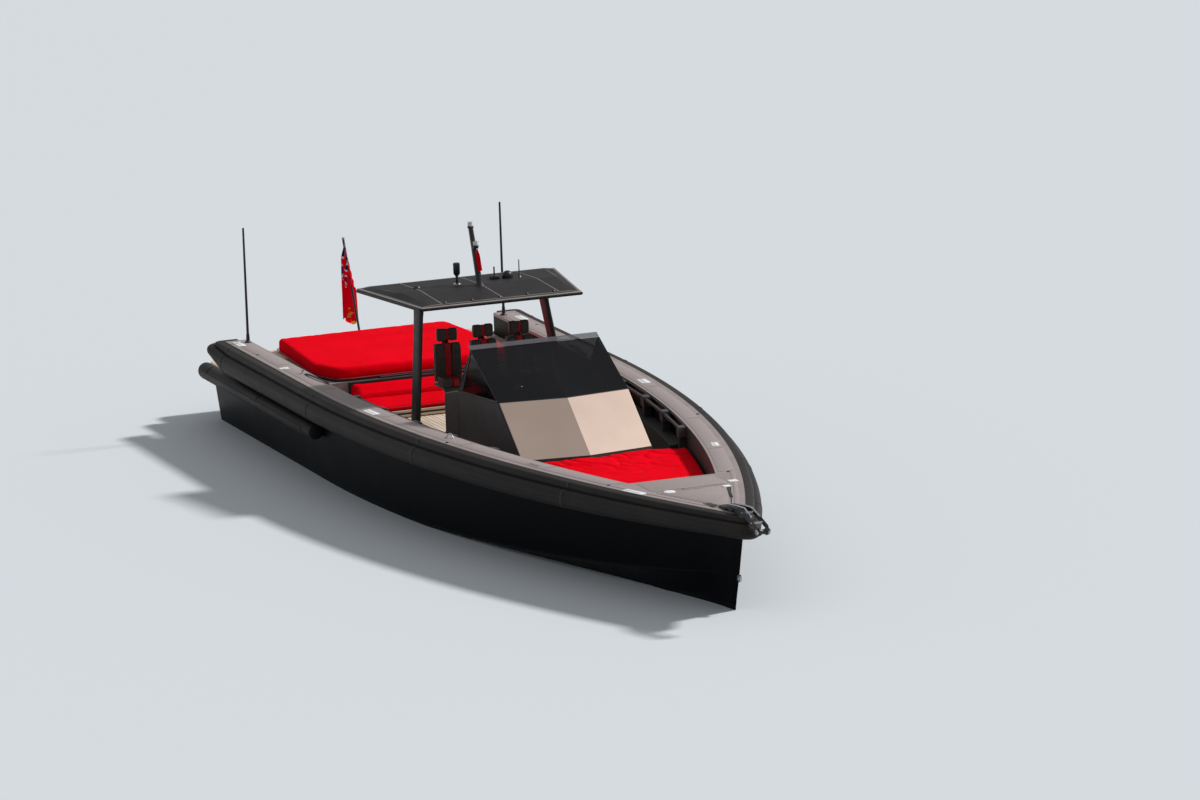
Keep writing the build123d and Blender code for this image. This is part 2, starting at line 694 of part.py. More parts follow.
# station, height, whether the corner is on the creased front
CONSOLE_OUTER = [
    (CONSOLE_AFT_X, SOLE_TOP_Z, False),
    (CONSOLE_AFT_X, CONSOLE_AFT_Z, False),
    (GLASS_FOOT_AFT[0], GLASS_FOOT_AFT[1], False),
    (GLASS_FOOT[0], GLASS_FOOT[1], True),
    (PANEL_FOOT[0], PANEL_FOOT[1], True),
    (CONSOLE_FOOT_X, SOLE_TOP_Z, True),
]
CONSOLE_INNER = [
    (CONSOLE_AFT_X - CONSOLE_WALL, SOLE_TOP_Z - CONSOLE_WALL, False),
    (CONSOLE_AFT_X - CONSOLE_WALL, GLASS_FOOT[1] + CONSOLE_WALL, False),
    (GLASS_FOOT_AFT[0], GLASS_FOOT[1] + CONSOLE_WALL, False),
    (GLASS_FOOT[0] - 2 * CONSOLE_WALL, GLASS_FOOT[1] + CONSOLE_WALL, True),
    (PANEL_FOOT[0] - CONSOLE_WALL, PANEL_FOOT[1] - CONSOLE_WALL / 2, True),
    (CONSOLE_FOOT_X - CONSOLE_WALL, SOLE_TOP_Z - CONSOLE_WALL, True),
]
with BuildPart() as console:
    ribs = ((-CONSOLE_HALF, 0), (0, CREASE), (CONSOLE_HALF, 0))
    loft([console_profile(y, CONSOLE_OUTER, push) for y, push in ribs], ruled=True)
    inner_half = CONSOLE_HALF - CONSOLE_WALL
    ribs = ((-inner_half, 0), (0, CREASE), (inner_half, 0))
    loft([console_profile(y, CONSOLE_INNER, push) for y, push in ribs], ruled=True, mode=Mode.SUBTRACT)
save(console.part, "console")


def glass_profile(y, push):
    """Section through the windscreen at y: the glass and its thickness."""
    run = GLASS_HEAD[0] - GLASS_FOOT[0] - push
    rise = GLASS_HEAD[1] - GLASS_FOOT[1]
    reach = sqrt(run**2 + rise**2)
    inward = (-rise / reach * GLASS_THICKNESS, run / reach * GLASS_THICKNESS)
    foot = (GLASS_FOOT[0] + push, GLASS_FOOT[1] + SEAT_GAP)
    with BuildSketch(Plane.XZ.offset(-y)) as profile:
        with BuildLine():
            Polyline(
                foot,
                GLASS_HEAD,
                (GLASS_HEAD[0] + inward[0], GLASS_HEAD[1] + inward[1]),
                (foot[0] - 2 * GLASS_THICKNESS, foot[1]),
                close=True,
            )
        make_face()
    return profile.sketch.face()


# Windscreen with its centre crease
with BuildPart() as windscreen:
    ribs = ((-CONSOLE_HALF, 0), (0, CREASE), (CONSOLE_HALF, 0))
    loft([glass_profile(y, push) for y, push in ribs], ruled=True)
save(windscreen.part, "windscreen")

# Side glass, a triangle behind the windscreen on each side
inner_y = CONSOLE_HALF - SIDE_GLASS_INSET - GLASS_THICKNESS
with BuildPart() as side_glass:
    for side in (-1, 1):
        with BuildSketch(Plane.XZ.offset(-side * inner_y)):
            with BuildLine():
                Polyline(
                    (GLASS_FOOT_AFT[0], GLASS_FOOT_AFT[1] + SEAT_GAP),
                    (GLASS_FOOT[0] - SIDE_GLASS_BACK, GLASS_FOOT[1] + SEAT_GAP),
                    (GLASS_HEAD[0] - SIDE_GLASS_HEAD, GLASS_HEAD[1] - SIDE_GLASS_HEAD),
                    close=True,
                )
            make_face()
        extrude(amount=-side * GLASS_THICKNESS)
save(side_glass.part, "side_glass")

wheel_lean = radians(WHEEL_TILT)
wheel_axis = (-cos(wheel_lean), 0, sin(wheel_lean))
wheel_plane = Plane(origin=WHEEL_CENTRE, x_dir=(0, 1, 0), z_dir=wheel_axis)

# Dash: instrument top, sloped face, steering column and the bulkhead with the cabin doorway
dash_half = CONSOLE_HALF - CONSOLE_WALL - SEAT_GAP
with BuildPart() as dash:
    with BuildSketch(Plane.XZ.offset(-dash_half)):
        with BuildLine() as border:
            Polyline(*DASH_PROFILE, close=True)
        make_face(border.line.edges())
    extrude(amount=2 * dash_half)
    with BuildSketch(Plane.YZ.offset(DASH_X - 10)):
        with Locations((DOOR_Y, SOLE_TOP_Z + DOOR_SILL + DOOR_HEIGHT / 2)):
            Rectangle(DOOR_WIDTH, DOOR_HEIGHT)
    extrude(amount=DASH_WALL + 20, mode=Mode.SUBTRACT)
    with BuildSketch(wheel_plane.offset(-WHEEL_HUB_DEPTH / 2 - SEAT_GAP)):
        Circle(COLUMN_RADIUS)
    extrude(amount=-COLUMN_LENGTH)
save(dash.part, "dash")

# Cabin door, hung on its outboard edge
door_half = DOOR_WIDTH / 2 - MOVING_GAP
with BuildPart() as door:
    box_between(
        (DASH_X, DOOR_Y - door_half, SOLE_TOP_Z + DOOR_SILL + MOVING_GAP),
        (DASH_X + DOOR_THICKNESS, DOOR_Y + door_half, SOLE_TOP_Z + DOOR_SILL + DOOR_HEIGHT - MOVING_GAP),
    )
    with BuildSketch(Plane.XY.offset(SOLE_TOP_Z + DOOR_SILL + SEAT_GAP)):
        with Locations((DASH_X, DOOR_HINGE_Y)):
            Circle(DOOR_PIN_RADIUS)
    extrude(amount=DOOR_HEIGHT - 2 * SEAT_GAP)
save(door.part, "cabin_door")

# Steering wheel on its column
with BuildPart() as steering_wheel:
    with BuildSketch(Plane(origin=WHEEL_CENTRE, x_dir=(0, 1, 0), z_dir=(sin(wheel_lean), 0, cos(wheel_lean)))):
        with Locations((WHEEL_RADIUS, 0)):
            Circle(WHEEL_RIM_RADIUS)
    revolve(axis=Axis(WHEEL_CENTRE, wheel_axis))
    with BuildSketch(wheel_plane.offset(-WHEEL_HUB_DEPTH / 2)):
        Circle(WHEEL_HUB_RADIUS)
    extrude(amount=WHEEL_HUB_DEPTH)
    with BuildSketch(wheel_plane.offset(-WHEEL_SPOKE_THICKNESS / 2)):
        with PolarLocations(WHEEL_RADIUS / 2, WHEEL_SPOKES, start_angle=90):
            Rectangle(WHEEL_RADIUS, WHEEL_SPOKE_WIDTH)
    extrude(amount=WHEEL_SPOKE_THICKNESS)
save(steering_wheel.part, "steering_wheel")

# Helm seats: pedestals with their shells, and separate pads
for rows, name in ((SEAT_FRAME, "helm_seats"), (SEAT_PADS, "helm_pads")):
    with BuildPart() as seat_part:
        for place in SEAT_PLACES:
            y = place * SEAT_SPACING
            for aft, fore, half, foot_z, head_z in rows:
                box_between((SEAT_X + aft, y - half, foot_z), (SEAT_X + fore, y + half, head_z))
    save(seat_part.part, name)


def roof_section(x, half, crown):
    """Closed section across the roof at a station, raised inside its edges."""
    with BuildSketch(Plane(origin=(x, 0, ROOF_Z), x_dir=(0, 1, 0), z_dir=(1, 0, 0))) as section:
        with BuildLine():
            Polyline(
                (-half, 0),
                (half, 0),
                (half, ROOF_THICKNESS),
                (half - ROOF_EDGE, ROOF_THICKNESS + crown),
                (ROOF_EDGE - half, ROOF_THICKNESS + crown),
                (-half, ROOF_THICKNESS),
                close=True,
            )
        make_face()
    return section.sketch.face()


# Roof, wider aft than forward, with a crest across its middle
with BuildPart() as roof:
    middle_x = (ROOF_AFT[0] + ROOF_FORE[0]) / 2
    sections = [
        roof_section(ROOF_AFT[0], ROOF_AFT[1], ROOF_CROWN / 3),
        roof_section(middle_x, (ROOF_AFT[1] + ROOF_FORE[1]) / 2, ROOF_CROWN),
        roof_section(ROOF_FORE[0], ROOF_FORE[1], ROOF_CROWN / 3),
    ]
    loft(sections, ruled=True)
save(roof.part, "roof")

# Struts that carry the roof, leaning in and aft
with BuildPart() as struts:
    for side in (-1, 1):
        faces = []
        for (x, y), z in ((STRUT_FOOT, SOLE_TOP_Z), (STRUT_TOP, ROOF_Z)):
            with BuildSketch(Plane.XY.offset(z), mode=Mode.PRIVATE) as end:
                with Locations((x, side * y)):
                    Rectangle(STRUT_CHORD, STRUT_THICKNESS)
            faces.append(end.sketch.face())
        loft(faces, ruled=True)
save(struts.part, "roof_struts")

# Mast with its lights, and the gear round it
roof_top_z = ROOF_Z + ROOF_THICKNESS + ROOF_CROWN
with BuildPart() as mast:
    mast_run = MAST_TOP[0] - MAST_FOOT_X
    mast_rise = MAST_TOP[1] - roof_top_z
    mast_length = sqrt(mast_run**2 + mast_rise**2)
    mast_plane = Plane(origin=(MAST_FOOT_X, 0, roof_top_z - 10), x_dir=(0, 1, 0), z_dir=(mast_run, 0, mast_rise))
    with BuildSketch(mast_plane):
        Rectangle(MAST_WIDTH, MAST_DEPTH)
    extrude(amount=mast_length)
    with BuildSketch(mast_plane.offset(mast_length)):
        Circle(LAMP_RADIUS)
    extrude(amount=LAMP_HEIGHT)
    add(roof.part, mode=Mode.SUBTRACT)
save(mast.part, "mast")

# Gear on the roof: x, y, radius, height of a horn, an antenna and a dome
ROOF_GEAR = [
    (-1990, -210, 45, 300),
    (-2050, 680, 22, 240),
    (-2060, 520, 70, 120),
]
with BuildPart() as roof_gear:
    for x, y, radius, height in ROOF_GEAR:
        with BuildSketch(Plane.XY.offset(ROOF_Z + ROOF_THICKNESS)):
            with Locations((x, y)):
                Circle(radius)
        extrude(amount=height)
    add(roof.part, mode=Mode.SUBTRACT)
save(roof_gear.part, "roof_gear")

# Whip antennas on the quarters
with BuildPart() as antennas:
    for side in (-1, 1):
        with BuildSketch(Plane.XY.offset(DECK_Z)):
            with Locations((ANTENNA_X, side * ANTENNA_Y)):
                Circle(ANTENNA_BASE_RADIUS)
        extrude(amount=ANTENNA_BASE_HEIGHT)
        with BuildSketch(Plane.XY.offset(DECK_Z + ANTENNA_BASE_HEIGHT)):
            with Locations((ANTENNA_X, side * ANTENNA_Y)):
                Circle(ANTENNA_RADIUS)
        extrude(amount=ANTENNA_HEIGHT)
save(antennas.part, "whip_antennas")

# Flagstaff raked aft, with its socket, and the ensign that hangs from it
staff_lean = radians(STAFF_LEAN)
staff_axis = (-sin(staff_lean), 0, cos(staff_lean))
staff_plane = Plane(origin=(STAFF_X, 0, AFT_DECK_Z), x_dir=(0, 1, 0), z_dir=staff_axis)
with BuildPart() as flagstaff:
    with BuildSketch(Plane.XY.offset(AFT_DECK_Z)):
        with Locations((STAFF_X, 0)):
            Circle(STAFF_SOCKET_RADIUS)
    extrude(amount=STAFF_SOCKET_HEIGHT)
    with BuildSketch(staff_plane.offset(STAFF_SOCKET_HEIGHT / 2)):
        Circle(STAFF_RADIUS)
    extrude(amount=STAFF_LENGTH)
save(flagstaff.part, "flagstaff")

with BuildPart() as ensign:
    with BuildSketch(Plane.XZ.offset(ENSIGN_THICKNESS / 2)):
        with BuildLine() as border:
            Polyline(*ENSIGN_OUTLINE, close=True)
        make_face(border.line.edges())
    extrude(amount=-ENSIGN_THICKNESS)
    add(flagstaff.part, mode=Mode.SUBTRACT)
save(ensign.part, "ensign")

# Bow roller over the collar
with BuildPart() as bow_arm:
    for y in (-BOW_ARM_HALF, BOW_ARM_HALF - BOW_ARM_PLATE):
        with BuildSketch(Plane.XZ.offset(-y)):
            with BuildLine() as border:
                Polyline(*BOW_ARM_OUTLINE, close=True)
            make_face(border.line.edges())
        extrude(amount=-BOW_ARM_PLATE)
    box_between((BOW_ARM_BASE[0], -BOW_ARM_HALF, DECK_Z), (BOW_ARM_BASE[1], BOW_ARM_HALF, DECK_Z + BOW_ARM_PLATE))
    with BuildSketch(Plane.XZ.offset(-BOW_ARM_HALF)):
        with Locations(ROLLER_CENTRE):
            Circle(ROLLER_PIN_RADIUS)
    extrude(amount=2 * BOW_ARM_HALF)
save(bow_arm.part, "bow_arm")

with BuildPart() as bow_roller:
    with BuildSketch(Plane.XZ.offset(-ROLLER_LENGTH / 2)):
        with Locations(ROLLER_CENTRE):
            Circle(ROLLER_RADIUS)
            Circle(ROLLER_PIN_RADIUS + PIN_GAP, mode=Mode.SUBTRACT)
    extrude(amount=ROLLER_LENGTH)
save(bow_roller.part, "bow_roller")

# Towing eye on the stem and eyes on the stern
with BuildPart() as tow_eye:
    with BuildSketch(Plane.XZ.offset(-EYE_THICKNESS / 2)):
        with Locations((TOW_EYE_X, TOW_EYE_Z)):
            Circle(EYE_OUTER)
            Circle(EYE_BORE, mode=Mode.SUBTRACT)
        with Locations((TOW_EYE_X - EYE_OUTER - 20, TOW_EYE_Z)):
            Rectangle(60, 50)
    extrude(amount=EYE_THICKNESS)
    add(hull_form.part, mode=Mode.SUBTRACT)
save(tow_eye.part, "tow_eye")

# Mooring cleats along the gunwales, and eyes on the stern
with BuildPart() as cleats:
    for x in CLEAT_STATIONS:
        for side in (-1, 1):
            y = side * (edge_y(x) - CLEAT_INSET)
            foot_top_z = DECK_Z + CLEAT_FOOT_HEIGHT
            box_between(
                (x - CLEAT_LENGTH / 4, y - CLEAT_FOOT_HALF, DECK_Z),
                (x + CLEAT_LENGTH / 4, y + CLEAT_FOOT_HALF, foot_top_z),
            )
            box_between(
                (x - CLEAT_LENGTH / 2, y - CLEAT_HORN_HALF, foot_top_z),
                (x + CLEAT_LENGTH / 2, y + CLEAT_HORN_HALF, DECK_Z + CLEAT_HEIGHT),
            )
save(cleats.part, "cleats")

with BuildPart() as stern_eyes:
    for side in (-1, 1):
        with BuildSketch(Plane.XZ.offset(-side * STERN_EYE_Y - EYE_THICKNESS / 2)):
            with Locations((HULL_AFT_X - EYE_OUTER - 10, STERN_EYE_Z)):
                Circle(EYE_OUTER)
                Circle(EYE_BORE, mode=Mode.SUBTRACT)
            with Locations((HULL_AFT_X - 15, STERN_EYE_Z)):
                Rectangle(30, 50)
        extrude(amount=EYE_THICKNESS)
save(stern_eyes.part, "stern_eyes")
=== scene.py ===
# %% [markdown]
# # An open yacht tender
#
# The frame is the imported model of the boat: X runs forward to the bow, Y to port and Z up,
# in metres, with the origin on the centreline at the waterline.
# The solids already sit where they belong, so every new piece takes its place from them
# and from a few sizes that are named where they are first used.

# %% Load the frame
import math
from math import cos, pi, radians, sin, sqrt

import bmesh
import bpy
from mathutils import Matrix, Vector, noise as rumple


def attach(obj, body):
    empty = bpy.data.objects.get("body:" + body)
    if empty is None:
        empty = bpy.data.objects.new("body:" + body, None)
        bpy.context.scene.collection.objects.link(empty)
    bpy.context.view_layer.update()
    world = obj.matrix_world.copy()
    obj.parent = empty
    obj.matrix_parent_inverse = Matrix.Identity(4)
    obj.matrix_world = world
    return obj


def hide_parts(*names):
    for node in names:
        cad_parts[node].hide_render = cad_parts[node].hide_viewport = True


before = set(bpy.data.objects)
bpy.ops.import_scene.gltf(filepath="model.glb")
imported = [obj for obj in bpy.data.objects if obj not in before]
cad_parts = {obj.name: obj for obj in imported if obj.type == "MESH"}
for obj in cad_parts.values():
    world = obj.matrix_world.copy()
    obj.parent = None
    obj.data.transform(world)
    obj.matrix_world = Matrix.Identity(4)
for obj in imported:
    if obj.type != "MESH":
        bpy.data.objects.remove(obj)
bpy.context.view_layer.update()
ROOT = "root"

# %% [markdown]
# ## Camera
#
# The photograph was taken from far off with a long lens, from the starboard bow and a little above.
# A camera is given here by the way it looks, its distance and its lens,
# and it leans a little because the photographer's horizon wasn't level.

# %% Camera
CAMERA_PLACE = Vector((82.352, -30.530, 19.653))
CAMERA_AZIMUTH = 69.069
CAMERA_ELEVATION = 11.809
CAMERA_ROLL = -1.972
CAMERA_LENS = 209.72
SENSOR_WIDTH = 36.0
FAR_CLIP = 1000.0


def add_camera():
    """Camera with its axes built from azimuth, elevation and roll."""
    azimuth, elevation, roll = (radians(v) for v in (CAMERA_AZIMUTH, CAMERA_ELEVATION, CAMERA_ROLL))
    level = cos(elevation)
    back = Vector((sin(azimuth) * level, -cos(azimuth) * level, sin(elevation)))
    right = Vector((cos(azimuth), sin(azimuth), 0.0))
    up = back.cross(right)
    turned_right = right * cos(roll) + up * sin(roll)
    turned_up = up * cos(roll) - right * sin(roll)
    data = bpy.data.cameras.new("camera")
    data.lens = CAMERA_LENS
    data.sensor_width = SENSOR_WIDTH
    data.clip_end = FAR_CLIP
    camera = bpy.data.objects.new("camera", data)
    turn = Matrix((turned_right, turned_up, back)).transposed().to_4x4()
    camera.matrix_world = Matrix.Translation(CAMERA_PLACE) @ turn
    bpy.context.collection.objects.link(camera)
    bpy.context.scene.camera = camera


add_camera()

# %% [markdown]
# ## Light and floor
#
# One soft sun from the port bow gives the bright tops and the dark starboard side.
# An even pale sky fills the shadows. The floor lies at the waterline, where the boat would float.

# %% Light and water level
SUN_FROM = Vector((0.03, 0.74, 0.68))
SUN_STRENGTH = 3.3
SUN_SIZE = 6.0
SKY_STRENGTH = 0.42
SKY_COLOUR = (0.93, 0.96, 1.0, 1.0)
FLOOR_SIZE = 150.0
FLOOR_ROUGHNESS = 0.9
FLOOR_SEEN = (0.60, 0.63, 0.65, 1.0)
FLOOR_BOUNCE = (0.10, 0.13, 0.15, 1.0)


def node(paint, kind, inputs=None, **settings):
    """New shader node. Each input is a plain value or the output of another node."""
    made = paint.node_tree.nodes.new("ShaderNode" + kind)
    for label, value in settings.items():
        setattr(made, label, value)
    for label, value in (inputs or {}).items():
        if isinstance(value, bpy.types.NodeSocket):
            paint.node_tree.links.new(value, made.inputs[label])
        else:
            made.inputs[label].default_value = value
    return made


def shader_of(paint):
    return paint.node_tree.nodes["Principled BSDF"]


def colour_by(paint, colour):
    paint.node_tree.links.new(colour, shader_of(paint).inputs["Base Color"])

def add_light():
    """One soft sun from the port bow, and an even pale sky."""
    sun = bpy.data.lights.new("sun", "SUN")
    sun.energy = SUN_STRENGTH
    sun.angle = radians(SUN_SIZE)
    lamp = bpy.data.objects.new("sun", sun)
    lamp.rotation_euler = SUN_FROM.to_track_quat("Z", "Y").to_euler()
    bpy.context.collection.objects.link(lamp)
    world = bpy.data.worlds.new("sky")
    world.use_nodes = True
    sky = world.node_tree.nodes["Background"]
    sky.inputs["Color"].default_value = SKY_COLOUR
    sky.inputs["Strength"].default_value = SKY_STRENGTH
    bpy.context.scene.world = world
    bpy.context.scene.view_settings.view_transform = "Standard"


def add_floor():
    """Floor at the waterline. Seen and mirrored it is pale, but it throws little light up, as water would."""
    shape = bmesh.new()
    bmesh.ops.create_grid(shape, x_segments=1, y_segments=1, size=FLOOR_SIZE)
    data = bpy.data.meshes.new("floor")
    shape.to_mesh(data)
    shape.free()
    floor = bpy.data.objects.new("floor", data)
    bpy.context.collection.objects.link(floor)
    paint = bpy.data.materials.new("floor_paint")
    paint.use_nodes = True
    shader_of(paint).inputs["Roughness"].default_value = FLOOR_ROUGHNESS
    path = node(paint, "LightPath").outputs
    seen = node(paint, "Math", {0: path["Is Camera Ray"], 1: path["Is Glossy Ray"]}, operation="MAXIMUM")
    either = {0: seen.outputs["Value"], 1: path["Is Transmission Ray"]}
    through = node(paint, "Math", either, operation="MAXIMUM")
    tones = {"A": FLOOR_BOUNCE, "B": FLOOR_SEEN, "Factor": through.outputs["Value"]}
    colour_by(paint, node(paint, "Mix", tones, data_type="RGBA").outputs["Result"])
    data.materials.append(paint)


add_light()
add_floor()

# %% [markdown]
# ## Finishes
#
# A finish is a few nodes that read the surface's own coordinates: noise for the colour and for the gloss,
# and a little relief. Small helpers keep each finish down to a few lines.
# Image textures would be quicker, but a rule can be read, changed and scaled.


# %% Helpers for finishes
SPECULAR = "Specular IOR Level"


def shade(red, green, blue):
    """Linear colour from the 0 to 255 values of a screen."""
    values = [v / 255 for v in (red, green, blue)]
    return tuple(((v + 0.055) / 1.055) ** 2.4 if v > 10 / 255 else v / 12.92 for v in values)


def finish(name, tone, roughness, sockets=None):
    """New material with its plain values."""
    paint = bpy.data.materials.new(name)
    paint.use_nodes = True
    values = {"Base Color": (*shade(*tone), 1.0), "Roughness": roughness, **(sockets or {})}
    for label, value in values.items():
        shader_of(paint).inputs[label].default_value = value
    return paint


def on_object(paint, stretch=(1, 1, 1)):
    """Object coordinates, stretched."""
    where = node(paint, "TexCoord").outputs["Object"]
    return node(paint, "Mapping", {"Scale": stretch, "Vector": where}).outputs["Vector"]


def grain(paint, scale, detail=3.0, stretch=(1, 1, 1)):
    """Soft noise, as a number from 0 to 1."""
    values = {"Scale": scale, "Detail": detail, "Vector": on_object(paint, stretch)}
    return node(paint, "TexNoise", values).outputs["Fac"]


def cells(paint, scale):
    """Distance to the nearest of many scattered points."""
    return node(paint, "TexVoronoi", {"Scale": scale, "Vector": on_object(paint)}).outputs["Distance"]


def bands(paint, scale, direction):
    """Waves along one axis."""
    values = {"Scale": scale, "Vector": on_object(paint)}
    return node(paint, "TexWave", values, bands_direction=direction).outputs["Fac"]


def ramp(paint, factor, dark, light, low=0.3, high=0.7):
    """Colour between two linear tones, by a number."""
    scale = node(paint, "ValToRGB", {"Fac": factor})
    for element, place, tone in zip(scale.color_ramp.elements, (low, high), (dark, light)):
        element.position = place
        element.color = (*tone, 1.0)
    return scale.outputs["Color"]


def mottle(paint, factor, dark, light, low=0.3, high=0.7):
    """Base colour between two tones of a screen, by a number."""
    colour_by(paint, ramp(paint, factor, shade(*dark), shade(*light), low, high))


def gloss_by(paint, factor, low, high):
    """Roughness between two values, by a number."""
    reach = node(paint, "MapRange", {"To Min": low, "To Max": high, "Value": factor})
    paint.node_tree.links.new(reach.outputs["Result"], shader_of(paint).inputs["Roughness"])


def relief(paint, height, depth):
    """Bump of a depth in metres, on top of any bump already there."""
    bump = node(paint, "Bump", {"Distance": depth, "Strength": 1.0, "Height": height})
    normal = shader_of(paint).inputs["Normal"]
    if normal.is_linked:
        paint.node_tree.links.new(normal.links[0].from_socket, bump.inputs["Normal"])
    paint.node_tree.links.new(bump.outputs["Normal"], normal)


def height_split(paint, level, below, above):
    """One colour below a height and another above it."""
    axes = node(paint, "SeparateXYZ", {"Vector": node(paint, "TexCoord").outputs["Object"]})
    over = node(paint, "Math", {0: axes.outputs["Z"], 1: level}, operation="GREATER_THAN")
    tones = {"Factor": over.outputs["Value"], "A": below, "B": above}
    return node(paint, "Mix", tones, data_type="RGBA").outputs["Result"]


def plain_paint(name, dark, light, rough, grain_scale=6.0, depth=0.0004, sockets=None, uneven=1.0):
    """Painted or moulded surface: a faint mottle, uneven gloss and fine relief."""
    paint = finish(name, light, rough, sockets)
    mottle(paint, grain(paint, grain_scale, 6.0), dark, light)
    gloss_by(paint, grain(paint, grain_scale * 3), rough - 0.06 * uneven, rough + 0.08 * uneven)
    relief(paint, grain(paint, 260.0, 2.0), depth)
    return paint


# %% [markdown]
# The hull is gloss black above a duller band of antifouling paint at the water.
# The decks are silver-grey with a sanded tread, and the collar is rubber with a fine grain along it.

# %% Hull, deck and collar finishes
ANTIFOULING_TOP_Z = 0.06

hull_paint = finish("hull_paint", (4, 5, 8), 0.4, {SPECULAR: 0.06})
topside_tone = ramp(hull_paint, grain(hull_paint, 0.7, 5.0), shade(2, 3, 5), shade(6, 7, 10))
bottom_tone = ramp(hull_paint, grain(hull_paint, 5.0, 8.0), shade(10, 14, 17), shade(18, 23, 26))
colour_by(hull_paint, height_split(hull_paint, ANTIFOULING_TOP_Z, bottom_tone, topside_tone))
gloss_by(hull_paint, grain(hull_paint, 2.2), 0.34, 0.46)
relief(hull_paint, grain(hull_paint, 0.9, 1.0), 0.004)

deck_tones = ((148, 136, 133), (164, 151, 148))
deck_paint = plain_paint("deck_paint", *deck_tones, 0.48, 3.0, 0.0003, {"Metallic": 0.25})
tread_paint = finish("tread_paint", (146, 137, 134), 0.62, {"Metallic": 0.15})
speckle = cells(tread_paint, 90.0)
mottle(tread_paint, speckle, (142, 130, 128), (160, 147, 144), 0.1)
gloss_by(tread_paint, grain(tread_paint, 12.0), 0.55, 0.7)
relief(tread_paint, speckle, 0.0012)

collar_rubber = finish("collar_rubber", (32, 28, 26), 0.55, {SPECULAR: 0.22})
scuffs = grain(collar_rubber, 1.6, 9.0, (0.35, 1, 1))
mottle(collar_rubber, scuffs, (32, 28, 27), (48, 42, 38), 0.3, 0.75)
gloss_by(collar_rubber, grain(collar_rubber, 7.0, 4.0, (0.3, 1, 1)), 0.48, 0.62)
relief(collar_rubber, cells(collar_rubber, 160.0), 0.0012)
seam_rubber = plain_paint("seam_rubber", (24, 23, 24), (34, 32, 33), 0.6, 20.0)

# %% [markdown]
# Teak decking is narrow planks with black caulking between them. A fraction of the distance across
# gives the caulk lines, and noise stretched along the planks gives the grain.


# %% Teak finish
def planks(paint, width, seam, wood, caulk):
    """Planks along X: colour and a groove at each seam."""
    axes = node(paint, "SeparateXYZ", {"Vector": on_object(paint, (1.0, 1.0 / width, 1.0))})
    within = node(paint, "Math", {0: axes.outputs["Y"]}, operation="FRACT")
    on_wood = node(paint, "Math", {0: within.outputs["Value"], 1: seam / width}, operation="GREATER_THAN")
    tones = {"A": (*caulk, 1.0), "Factor": on_wood.outputs["Value"], "B": wood}
    colour_by(paint, node(paint, "Mix", tones, data_type="RGBA").outputs["Result"])
    relief(paint, on_wood.outputs["Value"], 0.0015)


PLANK_WIDTH = 0.06
CAULK_WIDTH = 0.006

teak = finish("teak", (226, 205, 184), 0.6)
teak_grain = grain(teak, 9.0, 6.0, (0.15, 3.0, 3.0))
teak_wood = ramp(teak, teak_grain, shade(198, 172, 148), shade(236, 218, 198), 0.25, 0.75)
planks(teak, PLANK_WIDTH, CAULK_WIDTH, teak_wood, shade(28, 26, 25))
gloss_by(teak, teak_grain, 0.5, 0.75)
relief(teak, grain(teak, 60.0, 3.0, (0.1, 2.0, 2.0)), 0.0005)

slat_wood = finish("slat_wood", (214, 196, 172), 0.55)
slat_grain = grain(slat_wood, 30.0, 5.0, (2.0, 0.12, 2.0))
mottle(slat_wood, slat_grain, (190, 168, 142), (226, 210, 188), 0.25, 0.75)
gloss_by(slat_wood, slat_grain, 0.45, 0.65)
relief(slat_wood, slat_grain, 0.0004)

# %% [markdown]
# The cushions are a matt red marine fabric. It has a fine weave, a soft sheen at grazing angles
# and slow changes of tone, where sun and wear have reached it.


# %% Fabric and leather finishes
def woven(name, dark, light, weave, depth):
    """Cloth with crossed threads."""
    cloth = finish(name, light, 0.9, {SPECULAR: 0.02})
    mottle(cloth, grain(cloth, 1.3, 6.0), dark, light)
    gloss_by(cloth, grain(cloth, 9.0), 0.78, 0.92)
    relief(cloth, bands(cloth, weave, "X"), depth)
    relief(cloth, bands(cloth, weave, "Y"), depth)
    return cloth


def leather(name, dark, light, rough=0.5):
    """Grained leather with paler, smoother high spots."""
    hide = finish(name, light, rough, {SPECULAR: 0.4})
    mottle(hide, grain(hide, 14.0, 6.0), dark, light)
    gloss_by(hide, grain(hide, 22.0), rough - 0.08, rough + 0.1)
    relief(hide, cells(hide, 190.0), 0.0012)
    return hide


red_cloth = woven("red_cloth", (232, 0, 20), (248, 0, 28), 130.0, 0.0006)
red_leather = leather("red_leather", (150, 6, 20), (186, 8, 26))
seat_leather = leather("seat_leather", (56, 48, 43), (72, 62, 55))
wheel_leather = leather("wheel_leather", (20, 20, 21), (30, 30, 31), 0.45)

# %% Console, roof, glass and metal finishes
METAL = {"Metallic": 1.0}
SATIN = {SPECULAR: 0.3}
BRUSHED = {"Metallic": 0.85}

console_tones = ((186, 165, 151), (194, 173, 159))
console_paint = plain_paint("console_paint", *console_tones, 0.35, 1.0, 0.0001, BRUSHED, 0.25)
# The console's sides carry painted shade: this darker copy of the console's silver-grey paint stands for the
# shade on faces turned from the sun.
shaded_side_paint = plain_paint("shaded_side_paint", (62, 59, 60), (74, 70, 71), 0.45, 2.5, 0.0002, SATIN)
roof_paint = plain_paint("roof_paint", (27, 24, 25), (36, 32, 33), 0.58, 3.0, 0.0002, {SPECULAR: 0.25})
rim_paint = plain_paint("rim_paint", (98, 91, 88), (112, 104, 100), 0.45, 4.0, 0.0002, {"Metallic": 0.2})
strut_paint = plain_paint("strut_paint", (36, 34, 33), (46, 43, 41), 0.45, 4.0, 0.0002, SATIN)
trim_paint = plain_paint("trim_paint", (150, 142, 137), (168, 160, 154), 0.45, 6.0, 0.0002, {"Metallic": 0.1})
# The linings carry painted shade: a light grey wall in shadow is given this dark grey.
shaded_liner_paint = plain_paint("shaded_liner_paint", (36, 34, 35), (48, 45, 45), 0.6, 5.0)
gear_black = plain_paint("gear_black", (16, 16, 17), (26, 26, 27), 0.42, 12.0, 0.0002)
engine_paint = plain_paint("engine_paint", (96, 99, 102), (118, 121, 124), 0.4, 8.0)
